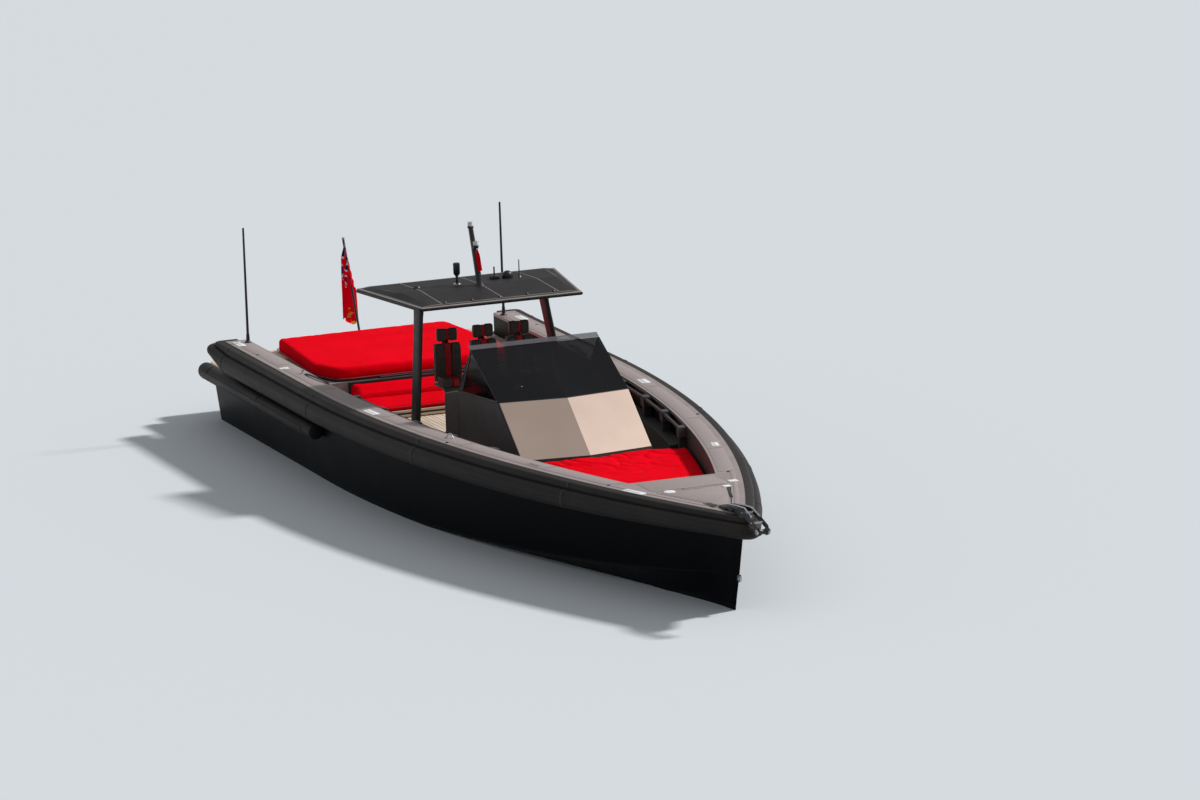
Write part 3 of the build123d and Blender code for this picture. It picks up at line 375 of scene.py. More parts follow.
pod_paint = plain_paint("pod_paint", (40, 42, 44), (54, 56, 58), 0.45, 8.0)
bronze = plain_paint("bronze", (150, 112, 62), (186, 146, 88), 0.3, 14.0, 0.0002, METAL)
stainless = plain_paint("stainless", (176, 178, 182), (214, 215, 218), 0.2, 18.0, 0.0001, METAL)
plate_white = plain_paint("plate_white", (222, 222, 222), (240, 240, 240), 0.35, 18.0, 0.0001)
screen_glass = plain_paint("screen_glass", (8, 10, 14), (14, 17, 22), 0.16, 4.0, 0.00005)
seat_shell = plain_paint("seat_shell", (34, 34, 35), (48, 48, 48), 0.42, 9.0)


def tinted(name, tone, alpha):
    """Dark sheet that lets a little through, with faint smears in its gloss."""
    sheet = finish(name, tone, 0.08, {"Alpha": alpha, SPECULAR: 0.22})
    dark = shade(*tone)
    colour_by(sheet, ramp(sheet, grain(sheet, 1.5, 4.0), dark, tuple(v * 1.35 for v in dark)))
    gloss_by(sheet, grain(sheet, 5.0, 6.0), 0.06, 0.10)
    relief(sheet, grain(sheet, 3.0, 1.0), 0.00005)
    return sheet


dark_glass = tinted("dark_glass", (10, 10, 14), 0.82)
pale_glass = tinted("pale_glass", (92, 90, 94), 0.62)
print("finishes", len(bpy.data.materials))

# %% [markdown]
# ## Helpers for shapes
#
# Most of the boat is a few kinds of shape: a plate on an outline, a rounded box, a turned part,
# a bent tube, and a skin whose points follow a rule. Each helper starts a bmesh from an operator.


# %% Shape helpers
def raised(shape, faces, step):
    """Extrude faces by a step. Returns the points of the new faces."""
    risen = bmesh.ops.extrude_face_region(shape, geom=faces)["geom"]
    top = [v for v in risen if isinstance(v, bmesh.types.BMVert)]
    bmesh.ops.translate(shape, verts=top, vec=step)
    return top


def eased(shape, edges, width, steps=2, **more):
    """Round some edges of a shape."""
    bmesh.ops.bevel(
        shape, geom=edges, offset=width, segments=steps, profile=0.5, affect="EDGES", material=-1, **more
    )


def rim_of(shape, top):
    """Edges that join the given points."""
    return [edge for edge in shape.edges if edge.verts[0] in top and edge.verts[1] in top]


def plate(outline, low, high, edge=0.004, steps=2):
    """Flat plate on an outline in the XY plane, with its top rim rounded."""
    shape = bmesh.new()
    base = shape.faces.new([shape.verts.new((x, y, low)) for x, y in outline])
    top = raised(shape, [base], (0, 0, high - low))
    if edge:
        eased(shape, rim_of(shape, top), edge, steps, clamp_overlap=True)
    bmesh.ops.recalc_face_normals(shape, faces=shape.faces)
    return shape


def rounded_box(low, high, radius=0.01, steps=3):
    """Box between two corners, with its edges rounded."""
    shape = bmesh.new()
    bmesh.ops.create_cube(shape, size=1.0)
    low, high = Vector(low), Vector(high)
    bmesh.ops.scale(shape, verts=shape.verts, vec=high - low)
    bmesh.ops.translate(shape, verts=shape.verts, vec=(low + high) / 2)
    if radius:
        eased(shape, shape.edges[:], radius, steps)
    return shape


def moved(shape, *steps):
    """Transform a shape by matrices, the last one first."""
    for matrix in reversed(steps):
        bmesh.ops.transform(shape, matrix=matrix, verts=shape.verts)
    return shape


def turned(profile, foot, along=(0, 0, 1), steps=24):
    """Part turned about an axis, from pairs of radius and distance along it."""
    shape = bmesh.new()
    verts = [shape.verts.new((radius, 0, height)) for radius, height in profile]
    edges = [shape.edges.new(pair) for pair in zip(verts, verts[1:])]
    bmesh.ops.spin(
        shape, geom=verts + edges, cent=(0, 0, 0), axis=(0, 0, 1), angle=2 * pi, steps=steps, use_merge=True
    )
    bmesh.ops.remove_doubles(shape, verts=shape.verts, dist=0.00001)
    bmesh.ops.recalc_face_normals(shape, faces=shape.faces)
    turn = Vector((0, 0, 1)).rotation_difference(Vector(along)).to_matrix().to_4x4()
    return moved(shape, Matrix.Translation(foot), turn)


def round_bar(radius, length, foot, along=(0, 0, 1), edge=None, steps=24):
    """Closed round bar with eased ends."""
    edge = min(radius, length) * 0.25 if edge is None else edge
    ends = [(0, 0), (radius - edge, 0), (radius, edge)]
    profile = ends + [(radius, length - edge), (radius - edge, length), (0, length)]
    return turned(profile, foot, along, steps)


def tube(points, radius, kind="POLY", closed=False, sides=3):
    """Round tube through a row of points."""
    line = bpy.data.curves.new("tube", "CURVE")
    line.dimensions = "3D"
    line.bevel_depth = radius
    line.bevel_resolution = sides
    line.resolution_u = 8
    line.use_fill_caps = not closed
    spline = line.splines.new(kind)
    spline.points.add(len(points) - 1)
    for knot, point in zip(spline.points, points):
        knot.co = (*point, 1.0)
    spline.use_cyclic_u = closed
    if kind == "NURBS":
        spline.order_u = 3
        spline.use_endpoint_u = not closed
    holder = bpy.data.objects.new("tube", line)
    data = bpy.data.meshes.new_from_object(holder)
    shape = bmesh.new()
    shape.from_mesh(data)
    bmesh.ops.remove_doubles(shape, verts=shape.verts, dist=0.00001)
    bpy.data.objects.remove(holder)
    bpy.data.curves.remove(line)
    bpy.data.meshes.remove(data)
    return shape


def skin(columns, rows, place):
    """Sheet of points set by a rule of two numbers from 0 to 1."""
    shape = bmesh.new()
    bmesh.ops.create_grid(shape, x_segments=columns, y_segments=rows, size=0.5)
    for vert in shape.verts:
        vert.co = place(vert.co.x + 0.5, vert.co.y + 0.5)
    bmesh.ops.remove_doubles(shape, verts=shape.verts, dist=0.00005)
    bmesh.ops.dissolve_degenerate(shape, edges=shape.edges, dist=0.00005)
    return shape


def closed_skin(columns, rows, place):
    """Skin whose rule closes on itself round u, with both ends filled."""
    shape = skin(columns, rows, place)
    rim = [edge for edge in shape.edges if edge.is_boundary]
    bmesh.ops.holes_fill(shape, edges=rim, sides=0)
    bmesh.ops.recalc_face_normals(shape, faces=shape.faces)
    return shape


def together(shapes):
    """Several shapes in one."""
    whole = bmesh.new()
    for shape in shapes:
        step = bpy.data.meshes.new("step")
        shape.to_mesh(step)
        whole.from_mesh(step)
        bpy.data.meshes.remove(step)
        shape.free()
    return whole


def flipped(shape):
    """A shape turned into its mirror image over the centreline."""
    bmesh.ops.scale(shape, verts=shape.verts, vec=(1, -1, 1))
    bmesh.ops.reverse_faces(shape, faces=shape.faces)
    return shape


def mirrored(shape):
    """A shape and its copy on the other side of the centreline."""
    return together([shape, flipped(shape.copy())])


def piece(name, shape, paint, body=ROOT, smooth=35.0):
    """Mesh object at the origin that rides on a body and takes the given finish."""
    data = bpy.data.meshes.new(name)
    shape.to_mesh(data)
    shape.free()
    data.materials.append(paint)
    if smooth:
        data.polygons.foreach_set("use_smooth", [True] * len(data.polygons))
        data.set_sharp_from_angle(angle=radians(smooth))
    made = bpy.data.objects.new(name, data)
    bpy.context.collection.objects.link(made)
    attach(made, body)
    print(name, len(data.vertices))
    return made


def dress(paint, *names):
    """Give CAD nodes a finish."""
    for name in names:
        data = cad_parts[name].data
        data.materials.clear()
        data.materials.append(paint)


# %% [markdown]
# ## The deck edge
#
# The boat's plan is one line: straight aft, then an arc that meets its mirror image at the bow.
# Nearly everything on deck follows this line at some distance inside it, so it is a rule of its own.

# %% Plan of the deck edge
HALF_BEAM = 2.090
SHOULDER_X = -2.5
TIP_X = 7.2
SHEER_RADIUS = ((TIP_X - SHOULDER_X) ** 2 + HALF_BEAM**2) / (2 * HALF_BEAM)
SOLE_TOP_Z = 0.62
AFT_DECK_Z = 0.94
DECK_Z = 1.24
GUNWALE_WIDTH = 0.31
TRANSOM_X = -6.1


def edge_y(x, inset=0.0):
    """Half breadth of the deck edge at a station, moved in by inset."""
    if x <= SHOULDER_X:
        return HALF_BEAM - inset
    radius = SHEER_RADIUS - inset
    return sqrt(max(radius**2 - (x - SHOULDER_X) ** 2, 0.0)) - (SHEER_RADIUS - HALF_BEAM)


def tip_x(inset=0.0):
    """Station where the moved deck edge meets the centreline."""
    return SHOULDER_X + sqrt((SHEER_RADIUS - inset) ** 2 - (SHEER_RADIUS - HALF_BEAM) ** 2)


def between(start, end, count):
    """Evenly spaced numbers from start to end."""
    return [start + (end - start) * i / count for i in range(count + 1)]


def strip_outline(aft, fore, outer, inner, side, count=36):
    """Outline of a strip that follows the deck edge between two insets."""
    out = [(x, side * edge_y(x, outer)) for x in between(aft, fore, count)]
    back = [(x, side * edge_y(x, inner)) for x in between(fore, aft, count)]
    return out + back


print("half breadth amidships", round(edge_y(0.0), 3))

# %% [markdown]
# ## Hull
#
# The solids under this skin are ruled between a few sections. A real hull is fair, so the skin runs
# a smooth curve through the same sections and adds the hard chine and two spray rails.
# It stands a few millimetres outside the solid.

# %% Hull skin
# station, how far the chine lies inside the deck edge, chine height, keel height
HULL_SECTIONS = [
    (-6.9, 0.160, -0.040, -0.540),
    (-3.5, 0.160, -0.040, -0.640),
    (-1.5, 0.155, -0.030, -0.680),
    (0.5, 0.165, 0.010, -0.710),
    (2.2, 0.200, 0.075, -0.710),
    (3.6, 0.215, 0.150, -0.680),
    (4.8, 0.200, 0.240, -0.600),
    (5.8, 0.160, 0.340, -0.470),
    (6.5, 0.140, 0.430, -0.300),
]
# Keel, chine and deck ends of the stem
STEM_ENDS = [Vector((6.78, 0.016, -0.15)), Vector((6.962, 0.018, 0.4575)), Vector((7.180, 0.018, 1.2))]
HULL_TOP_Z = 1.2
SKIN_GAP = 0.005


def faired(x, column):
    """Smooth curve through one column of the hull sections."""
    rows = HULL_SECTIONS
    at = max((i for i in range(len(rows) - 1) if rows[i][0] <= x), default=0)
    before, start, end, after = (rows[min(max(at + k, 0), len(rows) - 1)] for k in (-1, 0, 1, 2))
    span = end[0] - start[0]
    t = (x - start[0]) / span
    leave = (end[column] - before[column]) / (end[0] - before[0]) * span
    arrive = (after[column] - start[column]) / (after[0] - start[0]) * span
    a = 2 * t**3 - 3 * t**2 + 1
    b = t**3 - 2 * t**2 + t
    c = -2 * t**3 + 3 * t**2
    d = t**3 - t**2
    return a * start[column] + b * leave + c * end[column] + d * arrive


def hull_rails(x):
    """Keel, chine and deck points of one side at a station."""
    inset, chine_z, keel_z = (faired(x, column) for column in (1, 2, 3))
    keel = Vector((x, 0.0, keel_z - SKIN_GAP))
    chine = Vector((x, edge_y(x, inset) + SKIN_GAP, chine_z - SKIN_GAP))
    return keel, chine, Vector((x, edge_y(x) + SKIN_GAP / 2, HULL_TOP_Z))


def rails_along(aft_x, share):
    """Rails at a share of the way from a station to the stem."""
    last = HULL_SECTIONS[-1][0]
    reach = share * 1.05
    if reach < 1.0:
        return hull_rails(aft_x + (last - aft_x) * reach)
    start = hull_rails(last)
    part = (reach - 1.0) / 0.05
    return [a.lerp(b, part) for a, b in zip(start, STEM_ENDS)]


# Across the bottom: share from keel to chine, and how far a rail stands out there
BOTTOM_ROWS = [
    (0.0, 0.0), (0.15, 0.0), (0.30, 0.0), (0.33, 0.028), (0.36, 0.0), (0.50, 0.0), (0.62, 0.0),
    (0.65, 0.028), (0.68, 0.0), (0.82, 0.0), (0.94, 0.0), (0.96, 0.012), (1.0, 0.02),
]
SIDE_ROWS = [0.03, 0.10, 0.20, 0.32, 0.45, 0.6, 0.75, 0.88, 1.0]


def hull_point(aft_x, share, row, side):
    """Point of the lower skin on one side, by its row across bottom and side."""
    keel, chine, deck = rails_along(aft_x, share)
    fade = min(1.0, (1.0 - share) * 6.0)
    if row < len(BOTTOM_ROWS):
        part, stand = BOTTOM_ROWS[row]
        spot = keel.lerp(chine, part)
        spot += Vector((0.0, stand * 0.45, -stand * 0.6)) * fade
    else:
        middle = (0.6 - chine.z) / (deck.z - chine.z)
        spot = chine.lerp(deck, SIDE_ROWS[row - len(BOTTOM_ROWS)] * middle)
    if share > 0.9999:
        spot = Vector((spot.x + 0.014, 0.0, spot.z))
    return Vector((spot.x, side * spot.y, spot.z))


def bottom_place(u, w):
    """Lower skin, from the port topside at half height round the keel to starboard."""
    count = len(BOTTOM_ROWS) + len(SIDE_ROWS) - 1
    row = round(abs(w - 0.5) * 2 * count)
    return hull_point(HULL_SECTIONS[0][0] - 0.004, u, row, 1 if w > 0.5 else -1)


def upper_place(side):
    """Rule for one upper side, from half height to the deck."""
    rows = len(SIDE_ROWS)

    def place(u, w):
        row = round(w * rows)
        keel, chine, deck = rails_along(TRANSOM_X, u)
        middle = (0.6 - chine.z) / (deck.z - chine.z)
        part = 0.0 if row == 0 else SIDE_ROWS[row - 1]
        spot = chine.lerp(deck, middle + (1.0 - middle) * part)
        if u > 0.9999:
            spot = Vector((spot.x + 0.014, 0.0, spot.z))
        return Vector((spot.x, side * spot.y, spot.z))

    return place


def walled(shape, thickness):
    """Give a sheet a wall on its inner side."""
    bmesh.ops.recalc_face_normals(shape, faces=shape.faces)
    bmesh.ops.solidify(shape, geom=shape.faces[:], thickness=thickness)
    return shape


HULL_COLUMNS = 150
bottom = skin(HULL_COLUMNS, 2 * (len(BOTTOM_ROWS) + len(SIDE_ROWS) - 1), bottom_place)
piece("hull_bottom", walled(bottom, 0.003), hull_paint, smooth=28.0)
sides = [skin(HULL_COLUMNS, len(SIDE_ROWS), upper_place(side)) for side in (-1, 1)]
upper = together(sides)
bmesh.ops.remove_doubles(upper, verts=upper.verts, dist=0.0001)
piece("hull_topsides", walled(upper, 0.003), hull_paint, smooth=28.0)
dress(hull_paint, "hull", "topside_port", "topside_starboard", "bow")

# %% [markdown]
# ## Collar
#
# A deep rubber fender runs round the deck edge and turns in at the stern. A narrower rib sits on top of it,
# with a groove between the two, and strips cover the joints of the lengths.
# The section is drawn once and carried along two lines, the deck edge and the fender's outer line.

# %% Collar sweep
COLLAR_PROUD = 0.225
COLLAR_AFT_X = -6.4
COLLAR_RETURN_Y = HALF_BEAM - 0.2
COLLAR_END_RADIUS = 0.19
COLLAR_NOSE_RADIUS = 0.17
# share of the full width, height
COLLAR_SECTION = [
    (0.00, 0.885), (0.50, 0.885), (0.75, 0.897), (0.90, 0.925), (0.98, 0.965), (1.00, 1.000), (0.985, 1.006),
    (0.985, 1.014), (1.00, 1.020), (0.985, 1.060), (0.93, 1.095), (0.84, 1.118), (0.72, 1.130), (0.60, 1.132),
    (0.53, 1.128), (0.525, 1.138), (0.56, 1.146), (0.575, 1.165), (0.57, 1.190), (0.54, 1.208), (0.48, 1.222),
    (0.40, 1.229), (0.20, 1.231), (0.00, 1.226),
]
BOW_TAPER_X = 2.5
BOW_RISE = 0.085
BOW_NARROW = 0.14
STERN_TAPER_X = -5.72
STERN_RISE = 0.21


def collar_half():
    """Outer and inner points of the port side, from the stern return to the nose."""
    pairs = []
    corner = (COLLAR_AFT_X + COLLAR_END_RADIUS, HALF_BEAM + COLLAR_PROUD - COLLAR_END_RADIUS)
    for y in between(COLLAR_RETURN_Y, corner[1], 4):
        pairs.append(((COLLAR_AFT_X, y), (TRANSOM_X, min(y, HALF_BEAM))))
    for turn in between(0.0, pi / 2, 10)[1:]:
        outer = (corner[0] - COLLAR_END_RADIUS * cos(turn), corner[1] + COLLAR_END_RADIUS * sin(turn))
        pairs.append((outer, (TRANSOM_X, HALF_BEAM)))
    nose_x = tip_x(COLLAR_NOSE_RADIUS - COLLAR_PROUD)
    lean = math.atan2(SHEER_RADIUS - HALF_BEAM, nose_x - SHOULDER_X)
    nose_start = nose_x + COLLAR_NOSE_RADIUS * cos(lean)
    for share in between(0.0, 1.0, 110)[1:]:
        x = corner[0] + (nose_start - corner[0]) * share
        inner_x = TRANSOM_X + (TIP_X - 0.05 - TRANSOM_X) * share
        pairs.append(((x, edge_y(x, -COLLAR_PROUD)), (inner_x, edge_y(inner_x))))
    for part in between(0.0, 1.0, 8)[1:]:
        turn = lean * (1.0 - part)
        outer = (nose_x + COLLAR_NOSE_RADIUS * cos(turn), COLLAR_NOSE_RADIUS * sin(turn))
        inner_x = TIP_X - 0.05 + 0.05 * part
        pairs.append((outer, (inner_x, edge_y(inner_x) if part < 1.0 else 0.0)))
    return pairs


def collar_skin(pairs, grow=0.0):
    """Closed collar length along rows of outer and inner points."""
    loop = COLLAR_SECTION + COLLAR_SECTION[:1]
    middle_z = 1.05

    def place(u, w):
        outer, inner = pairs[round(u * (len(pairs) - 1))]
        share, z = loop[round(w * (len(loop) - 1))]
        share *= 1.0 + grow / COLLAR_PROUD
        z += grow * (1 if z > middle_z else -1) * min(1.0, share * 2)
        bow = min(1.0, max(0.0, (outer[0] - BOW_TAPER_X) / (TIP_X - BOW_TAPER_X)))
        z += BOW_RISE * bow * bow * (DECK_Z - z) / (DECK_Z - COLLAR_SECTION[0][1])
        share *= 1.0 - BOW_NARROW * bow
        stern = min(1.0, max(0.0, (STERN_TAPER_X - outer[0]) / (STERN_TAPER_X - COLLAR_AFT_X)))
        z += STERN_RISE * stern * (DECK_Z - z) / (DECK_Z - COLLAR_SECTION[0][1])
        x = inner[0] + (outer[0] - inner[0]) * share
        y = inner[1] + (outer[1] - inner[1]) * share
        return Vector((x, y, z))

    return closed_skin(len(pairs) - 1, len(loop) - 1, place)


def flip(pairs):
    return [((a, -b), (c, -d)) for (a, b), (c, d) in pairs]


port_pairs = collar_half()
whole_round = port_pairs + flip(port_pairs)[-2::-1]
collar = piece("collar", collar_skin(whole_round), collar_rubber, smooth=30.0)
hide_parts("collar_port", "collar_starboard", "collar_bow")


def collar_piece(aft, fore, side, grow):
    """Short length of the collar's own section between two stations, a little larger."""
    pairs = []
    for x in between(aft, fore, 3):
        pairs.append(((x, side * edge_y(x, -COLLAR_PROUD)), (x, side * edge_y(x))))
    return collar_skin(pairs, grow)


JOINT_STRIPS = [
    (-5.69, -1), (-2.19, -1), (1.11, -1), (4.4, -1), (6.28, 1), (-5.69, 1), (-2.19, 1), (1.11, 1), (4.2, 1),
]
strips = [collar_piece(x - 0.02, x + 0.02, side, 0.004) for x, side in JOINT_STRIPS]
piece("collar_joint_strips", together(strips), seam_rubber)

# %% [markdown]
# ## Stern fenders
#
# A straight round fender lies along each side at the stern, where the boat comes alongside.
# It is a turned part: a profile spun about its own axis, with a domed aft end and joint rings.

# %% Stern fenders
FENDER_RADIUS = 0.115
FENDER_Z = 0.69
FENDER_Y = HALF_BEAM + 0.02
FENDER_AFT_X = -7.05
FENDER_FORE_X = -2.35
FENDER_RINGS = [-6.60, -4.51]
RING_DEPTH = 0.005
# step along the fender, share of the ring's depth
RING_SHAPE = [
    (-0.022, 0), (-0.018, 1), (-0.008, 1), (-0.004, 0), (0.004, 0), (0.008, 1), (0.018, 1), (0.022, 0),
]
# distance back from the forward end, share of the radius
FENDER_NOSE = [(0.26, 1.0), (0.22, 0.94), (0.05, 0.92), (0.012, 0.85), (0.0, 0.6), (0.0, 0.0)]


def fender_profile():
    """Radius and distance along the fender, aft end first."""
    turns = between(0.0, pi / 2, 8)
    profile = [(FENDER_RADIUS * sin(a), FENDER_RADIUS * 0.9 * (1 - cos(a))) for a in turns]
    for x in FENDER_RINGS:
        profile += [(FENDER_RADIUS - RING_DEPTH * cut, x - FENDER_AFT_X + step) for step, cut in RING_SHAPE]
    length = FENDER_FORE_X - FENDER_AFT_X
    return profile + [(FENDER_RADIUS * share, length - back) for back, share in FENDER_NOSE]


for side, side_name in ((-1, "starboard"), (1, "port")):
    body = turned(fender_profile(), (FENDER_AFT_X, side * FENDER_Y, FENDER_Z), (1, 0, 0), 32)
    # A flat chafing strip along its outer face
    strip = rounded_box(
        (FENDER_AFT_X + 0.25, FENDER_Y + FENDER_RADIUS - 0.012, FENDER_Z - 0.035),
        (FENDER_FORE_X - 0.3, FENDER_Y + FENDER_RADIUS + 0.004, FENDER_Z + 0.035), 0.006,
    )
    strip = strip if side > 0 else flipped(strip)
    fender = piece(f"stern_fender_{side_name}_skin", together([body, strip]), collar_rubber)
    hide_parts(f"stern_fender_{side_name}")

# %% [markdown]
# ## Decks
#
# The deck plates of the frame keep their shape. Treads lie on them as thin panels
# with a smooth margin left all round, which shows as a fine line beside the deck edge.

# %% Deck treads
TREAD_TOP_Z = DECK_Z + 0.004
TREAD_MARGIN = 0.075
HATCH_INSET = 0.175
LOCKER_AFT_X = 5.53
LOCKER_FORE_X = 6.60

dress(deck_paint, "gunwale_port", "gunwale_starboard", "foredeck", "anchor_hatch", "aft_deck")
TREAD_RUNS = [(-5.95, -4.2), (-4.17, -2.35), (-2.32, -0.35), (-0.32, 1.75), (1.78, 3.55), (3.58, 4.84)]
treads = []
for side in (-1, 1):
    inner = GUNWALE_WIDTH - 0.035
    outlines = [strip_outline(aft, fore, TREAD_MARGIN, inner, side, 14) for aft, fore in TREAD_RUNS]
    outlines.append(strip_outline(4.87, 6.72, TREAD_MARGIN, HATCH_INSET - 0.045, side, 24))
    treads += [plate(outline, DECK_Z, TREAD_TOP_Z, 0.002) for outline in outlines]
piece("deck_treads", together(treads), tread_paint)


def hatch_plan(inset, corner, aft=LOCKER_AFT_X):
    """Anchor hatch outline, moved in by inset, with rounded aft corners."""
    aft_x = aft + inset - HATCH_INSET
    tip = min(tip_x(inset), LOCKER_FORE_X - (inset - HATCH_INSET))
    port = [(x, edge_y(x, inset)) for x in between(aft_x + corner, tip, 20)]
    y = edge_y(aft_x + corner, inset)
    turns = between(0.0, pi / 2, 5)[1:]
    turn = [(aft_x + corner - corner * sin(a), y - corner + corner * cos(a)) for a in turns]
    half = list(reversed(turn)) + port
    other = [(x, -y) for x, y in reversed(half) if y > 0.0001]
    return half + other


hatch_tread = plate(hatch_plan(HATCH_INSET + 0.03, 0.05), DECK_Z, TREAD_TOP_Z, 0.002)
piece("hatch_tread", hatch_tread, tread_paint, "anchor_hatch")
fore_tread_half = [(4.99, 0.50), (5.44, 0.50), (5.48, 0.46)]
fore_tread_outline = [(x, -y) for x, y in fore_tread_half] + fore_tread_half[::-1]
piece("fore_tread", plate(fore_tread_outline, DECK_Z, TREAD_TOP_Z, 0.002), tread_paint)

# %% Finishes of the other solids
for paint, names in [
    (teak, "swim_platform cockpit_sole"),
    (engine_paint, "engines"),
    (red_cloth, "bench_seat_cushion bench_back_cushion sun_pad fore_cushion ensign"),
    (pod_paint, "pod_port pod_starboard"),
    (bronze, "propeller_aft_port propeller_aft_starboard propeller_fore_port propeller_fore_starboard"),
    # These solids take the liner's dark grey, which carries painted shade.
    (shaded_liner_paint, "bench fore_seat side_lockers engine_hatch dash cabin_door"),
    # The console solid takes the darker grey with painted shade.
    (shaded_side_paint, "console"),
    (dark_glass, "windscreen side_glass"),
    (wheel_leather, "steering_wheel"),
    (seat_shell, "helm_seats"),
    (seat_leather, "helm_pads"),
    (rim_paint, "roof"),
    (strut_paint, "roof_struts mast"),
    (gear_black, "roof_gear whip_antennas flagstaff bow_roller bow_arm"),
    (stainless, "tow_eye cleats stern_eyes"),
]:
    dress(paint, *names.split())

# %% [markdown]
# ## Console
#
# The console is faceted sheet: two broad panels that meet at a crease, and flat sides.
# The solid gives the form. Each facet here is a thin panel with eased edges, laid on the solid,
# so that the joints between the facets show as they do on the real one.


# %% Flat panels on sloping faces
def panel(points, rise, margin=0.0, edge=0.003):
    """Raised panel on a flat loop of points, standing off along its normal."""
    shape = bmesh.new()
    base = shape.faces.new([shape.verts.new(point) for point in points])
    base.normal_update()
    up = base.normal.copy()
    if margin:
        ring = bmesh.ops.inset_region(shape, faces=[base], thickness=margin, use_even_offset=True)["faces"]
        bmesh.ops.delete(shape, geom=ring, context="FACES")
    top = raised(shape, [base], up * rise)
    eased(shape, rim_of(shape, top), edge)
    bmesh.ops.recalc_face_normals(shape, faces=shape.faces)
    return shape


CONSOLE_HALF = 0.88
GLASS_FOOT_AFT = (-0.24, 1.48)
GLASS_FOOT = (1.25, 1.60)
GLASS_HEAD = (0.28, 2.11)
PANEL_FOOT = (2.01, 0.99)
CREASE = 0.12
def at(point, y=0.0):
    """Place of a profile's point at a breadth."""
    return Vector((point[0], y, point[1]))


def ribbed(point, y):
    """Point of the console's profile at the side or on the crease."""
    return at(point, y) + Vector((CREASE * (1 - abs(y) / CONSOLE_HALF), 0.0, 0.0))


# %% Console panels
def front_panels(head, foot, rise, margin, edge=0.004):
    """Both halves of a sloping front face in one sheet, folded on the crease."""
    shape = bmesh.new()
    half = CONSOLE_HALF - margin
    along = (at(foot) - at(head)).normalized()
    rows = []
    for y in (-half, 0.0, half):
        ends = (ribbed(head, y) + along * margin, ribbed(foot, y) - along * margin)
        rows.append([shape.verts.new(point) for point in ends])
    for near, far in zip(rows, rows[1:]):
        shape.faces.new([near[0], near[1], far[1], far[0]])
    shape.normal_update()
    top = set(raised(shape, shape.faces[:], Vector((-along.z, 0, along.x)) * rise))
    rim = [e for e in rim_of(shape, top) if sum(set(f.verts) <= top for f in e.link_faces) == 1]
    eased(shape, rim, edge)
    bmesh.ops.recalc_face_normals(shape, faces=shape.faces)
    return shape


front = front_panels(GLASS_FOOT, PANEL_FOOT, 0.012, 0.006)
piece("console_front", front, console_paint, smooth=6.0)
CONSOLE_SIDES = {
    "console_sides": [(-0.235, 0.64), (2.06, 0.64), (1.985, 0.985), (1.235, 1.585), (-0.235, 1.465)],
    "console_aft_sides": [(-0.74, 0.64), (-0.245, 0.64), (-0.245, 1.462), (-0.74, 1.345)],
}
# The side panels take the darker copy of the console's paint, which paints their shade.
for name, points in CONSOLE_SIDES.items():
    side_panel = panel([at(point, -CONSOLE_HALF) for point in points], 0.010, 0.004)
    piece(name, mirrored(side_panel), shaded_side_paint, smooth=20.0)
CAP_LINES = [[(-0.75, 1.366), (-0.24, 1.486), (1.19, 1.601)], [(-0.748, 0.64), (-0.748, 1.358)]]
caps = [tube([at(point, -CONSOLE_HALF + 0.012) for point in line], 0.014) for line in CAP_LINES]
piece("console_rims", mirrored(together(caps)), rim_paint)

# %% [markdown]
# ## Windscreen
#
# The glass is one raked plane on each side of the crease, nearly black, with a paler band along its head.
# The side panes are triangles with a pale strip down their aft edge, and slim frames hold them all.

# %% Glass band, side panes and frames
GLASS_RAKE = (at(GLASS_HEAD) - at(GLASS_FOOT)).normalized()
BAND_REACH = 0.095


def head_band(y_side, rise):
    """Pale band that carries the raked glass on above its dark part."""
    side, middle = at(GLASS_HEAD, y_side), at(GLASS_HEAD)
    foot, top = 0.004 * GLASS_RAKE, BAND_REACH * GLASS_RAKE
    return panel([side + foot, side + top, middle + top, middle + foot], rise, 0.0, 0.002)


band = mirrored(head_band(CONSOLE_HALF - 0.004, 0.008))
piece("glass_head_band", band, pale_glass, smooth=20.0)
strip_points = [(-0.235, 1.487), (-0.10, 1.497), (0.262, 2.045), (0.246, 2.072)]
pane_strip = panel([at(point, -CONSOLE_HALF + 0.008) for point in strip_points], 0.006, 0.0, 0.002)
piece("side_glass_strips", mirrored(pane_strip), pale_glass, smooth=20.0)


def glass_frame():
    """Slim bars along the starboard pane and the foot of the glass."""
    y = -CONSOLE_HALF + 0.006
    head = (GLASS_HEAD[0] - 0.01, y, GLASS_HEAD[1] - 0.012)
    aft = (GLASS_FOOT_AFT[0], y, GLASS_FOOT_AFT[1] + 0.008)
    fore = (GLASS_FOOT[0] - 0.04, y, GLASS_FOOT[1] + 0.006)
    foot_x, foot_z = GLASS_FOOT[0] + 0.003, GLASS_FOOT[1] + 0.004
    foot = [(foot_x, y, foot_z), (foot_x + CREASE, 0.0, foot_z)]
    bars = [([aft, head], 0.009), ([aft, fore], 0.009), ([fore, head], 0.010), (foot, 0.007)]
    return together([tube(points, radius) for points, radius in bars])


piece("glass_frames", mirrored(glass_frame()), gear_black)

# %% [markdown]
# ## Helm
#
# Behind the glass are the instruments, the throttles and the wheel. The wheel turns with its own body,
# so every piece of it rides there.

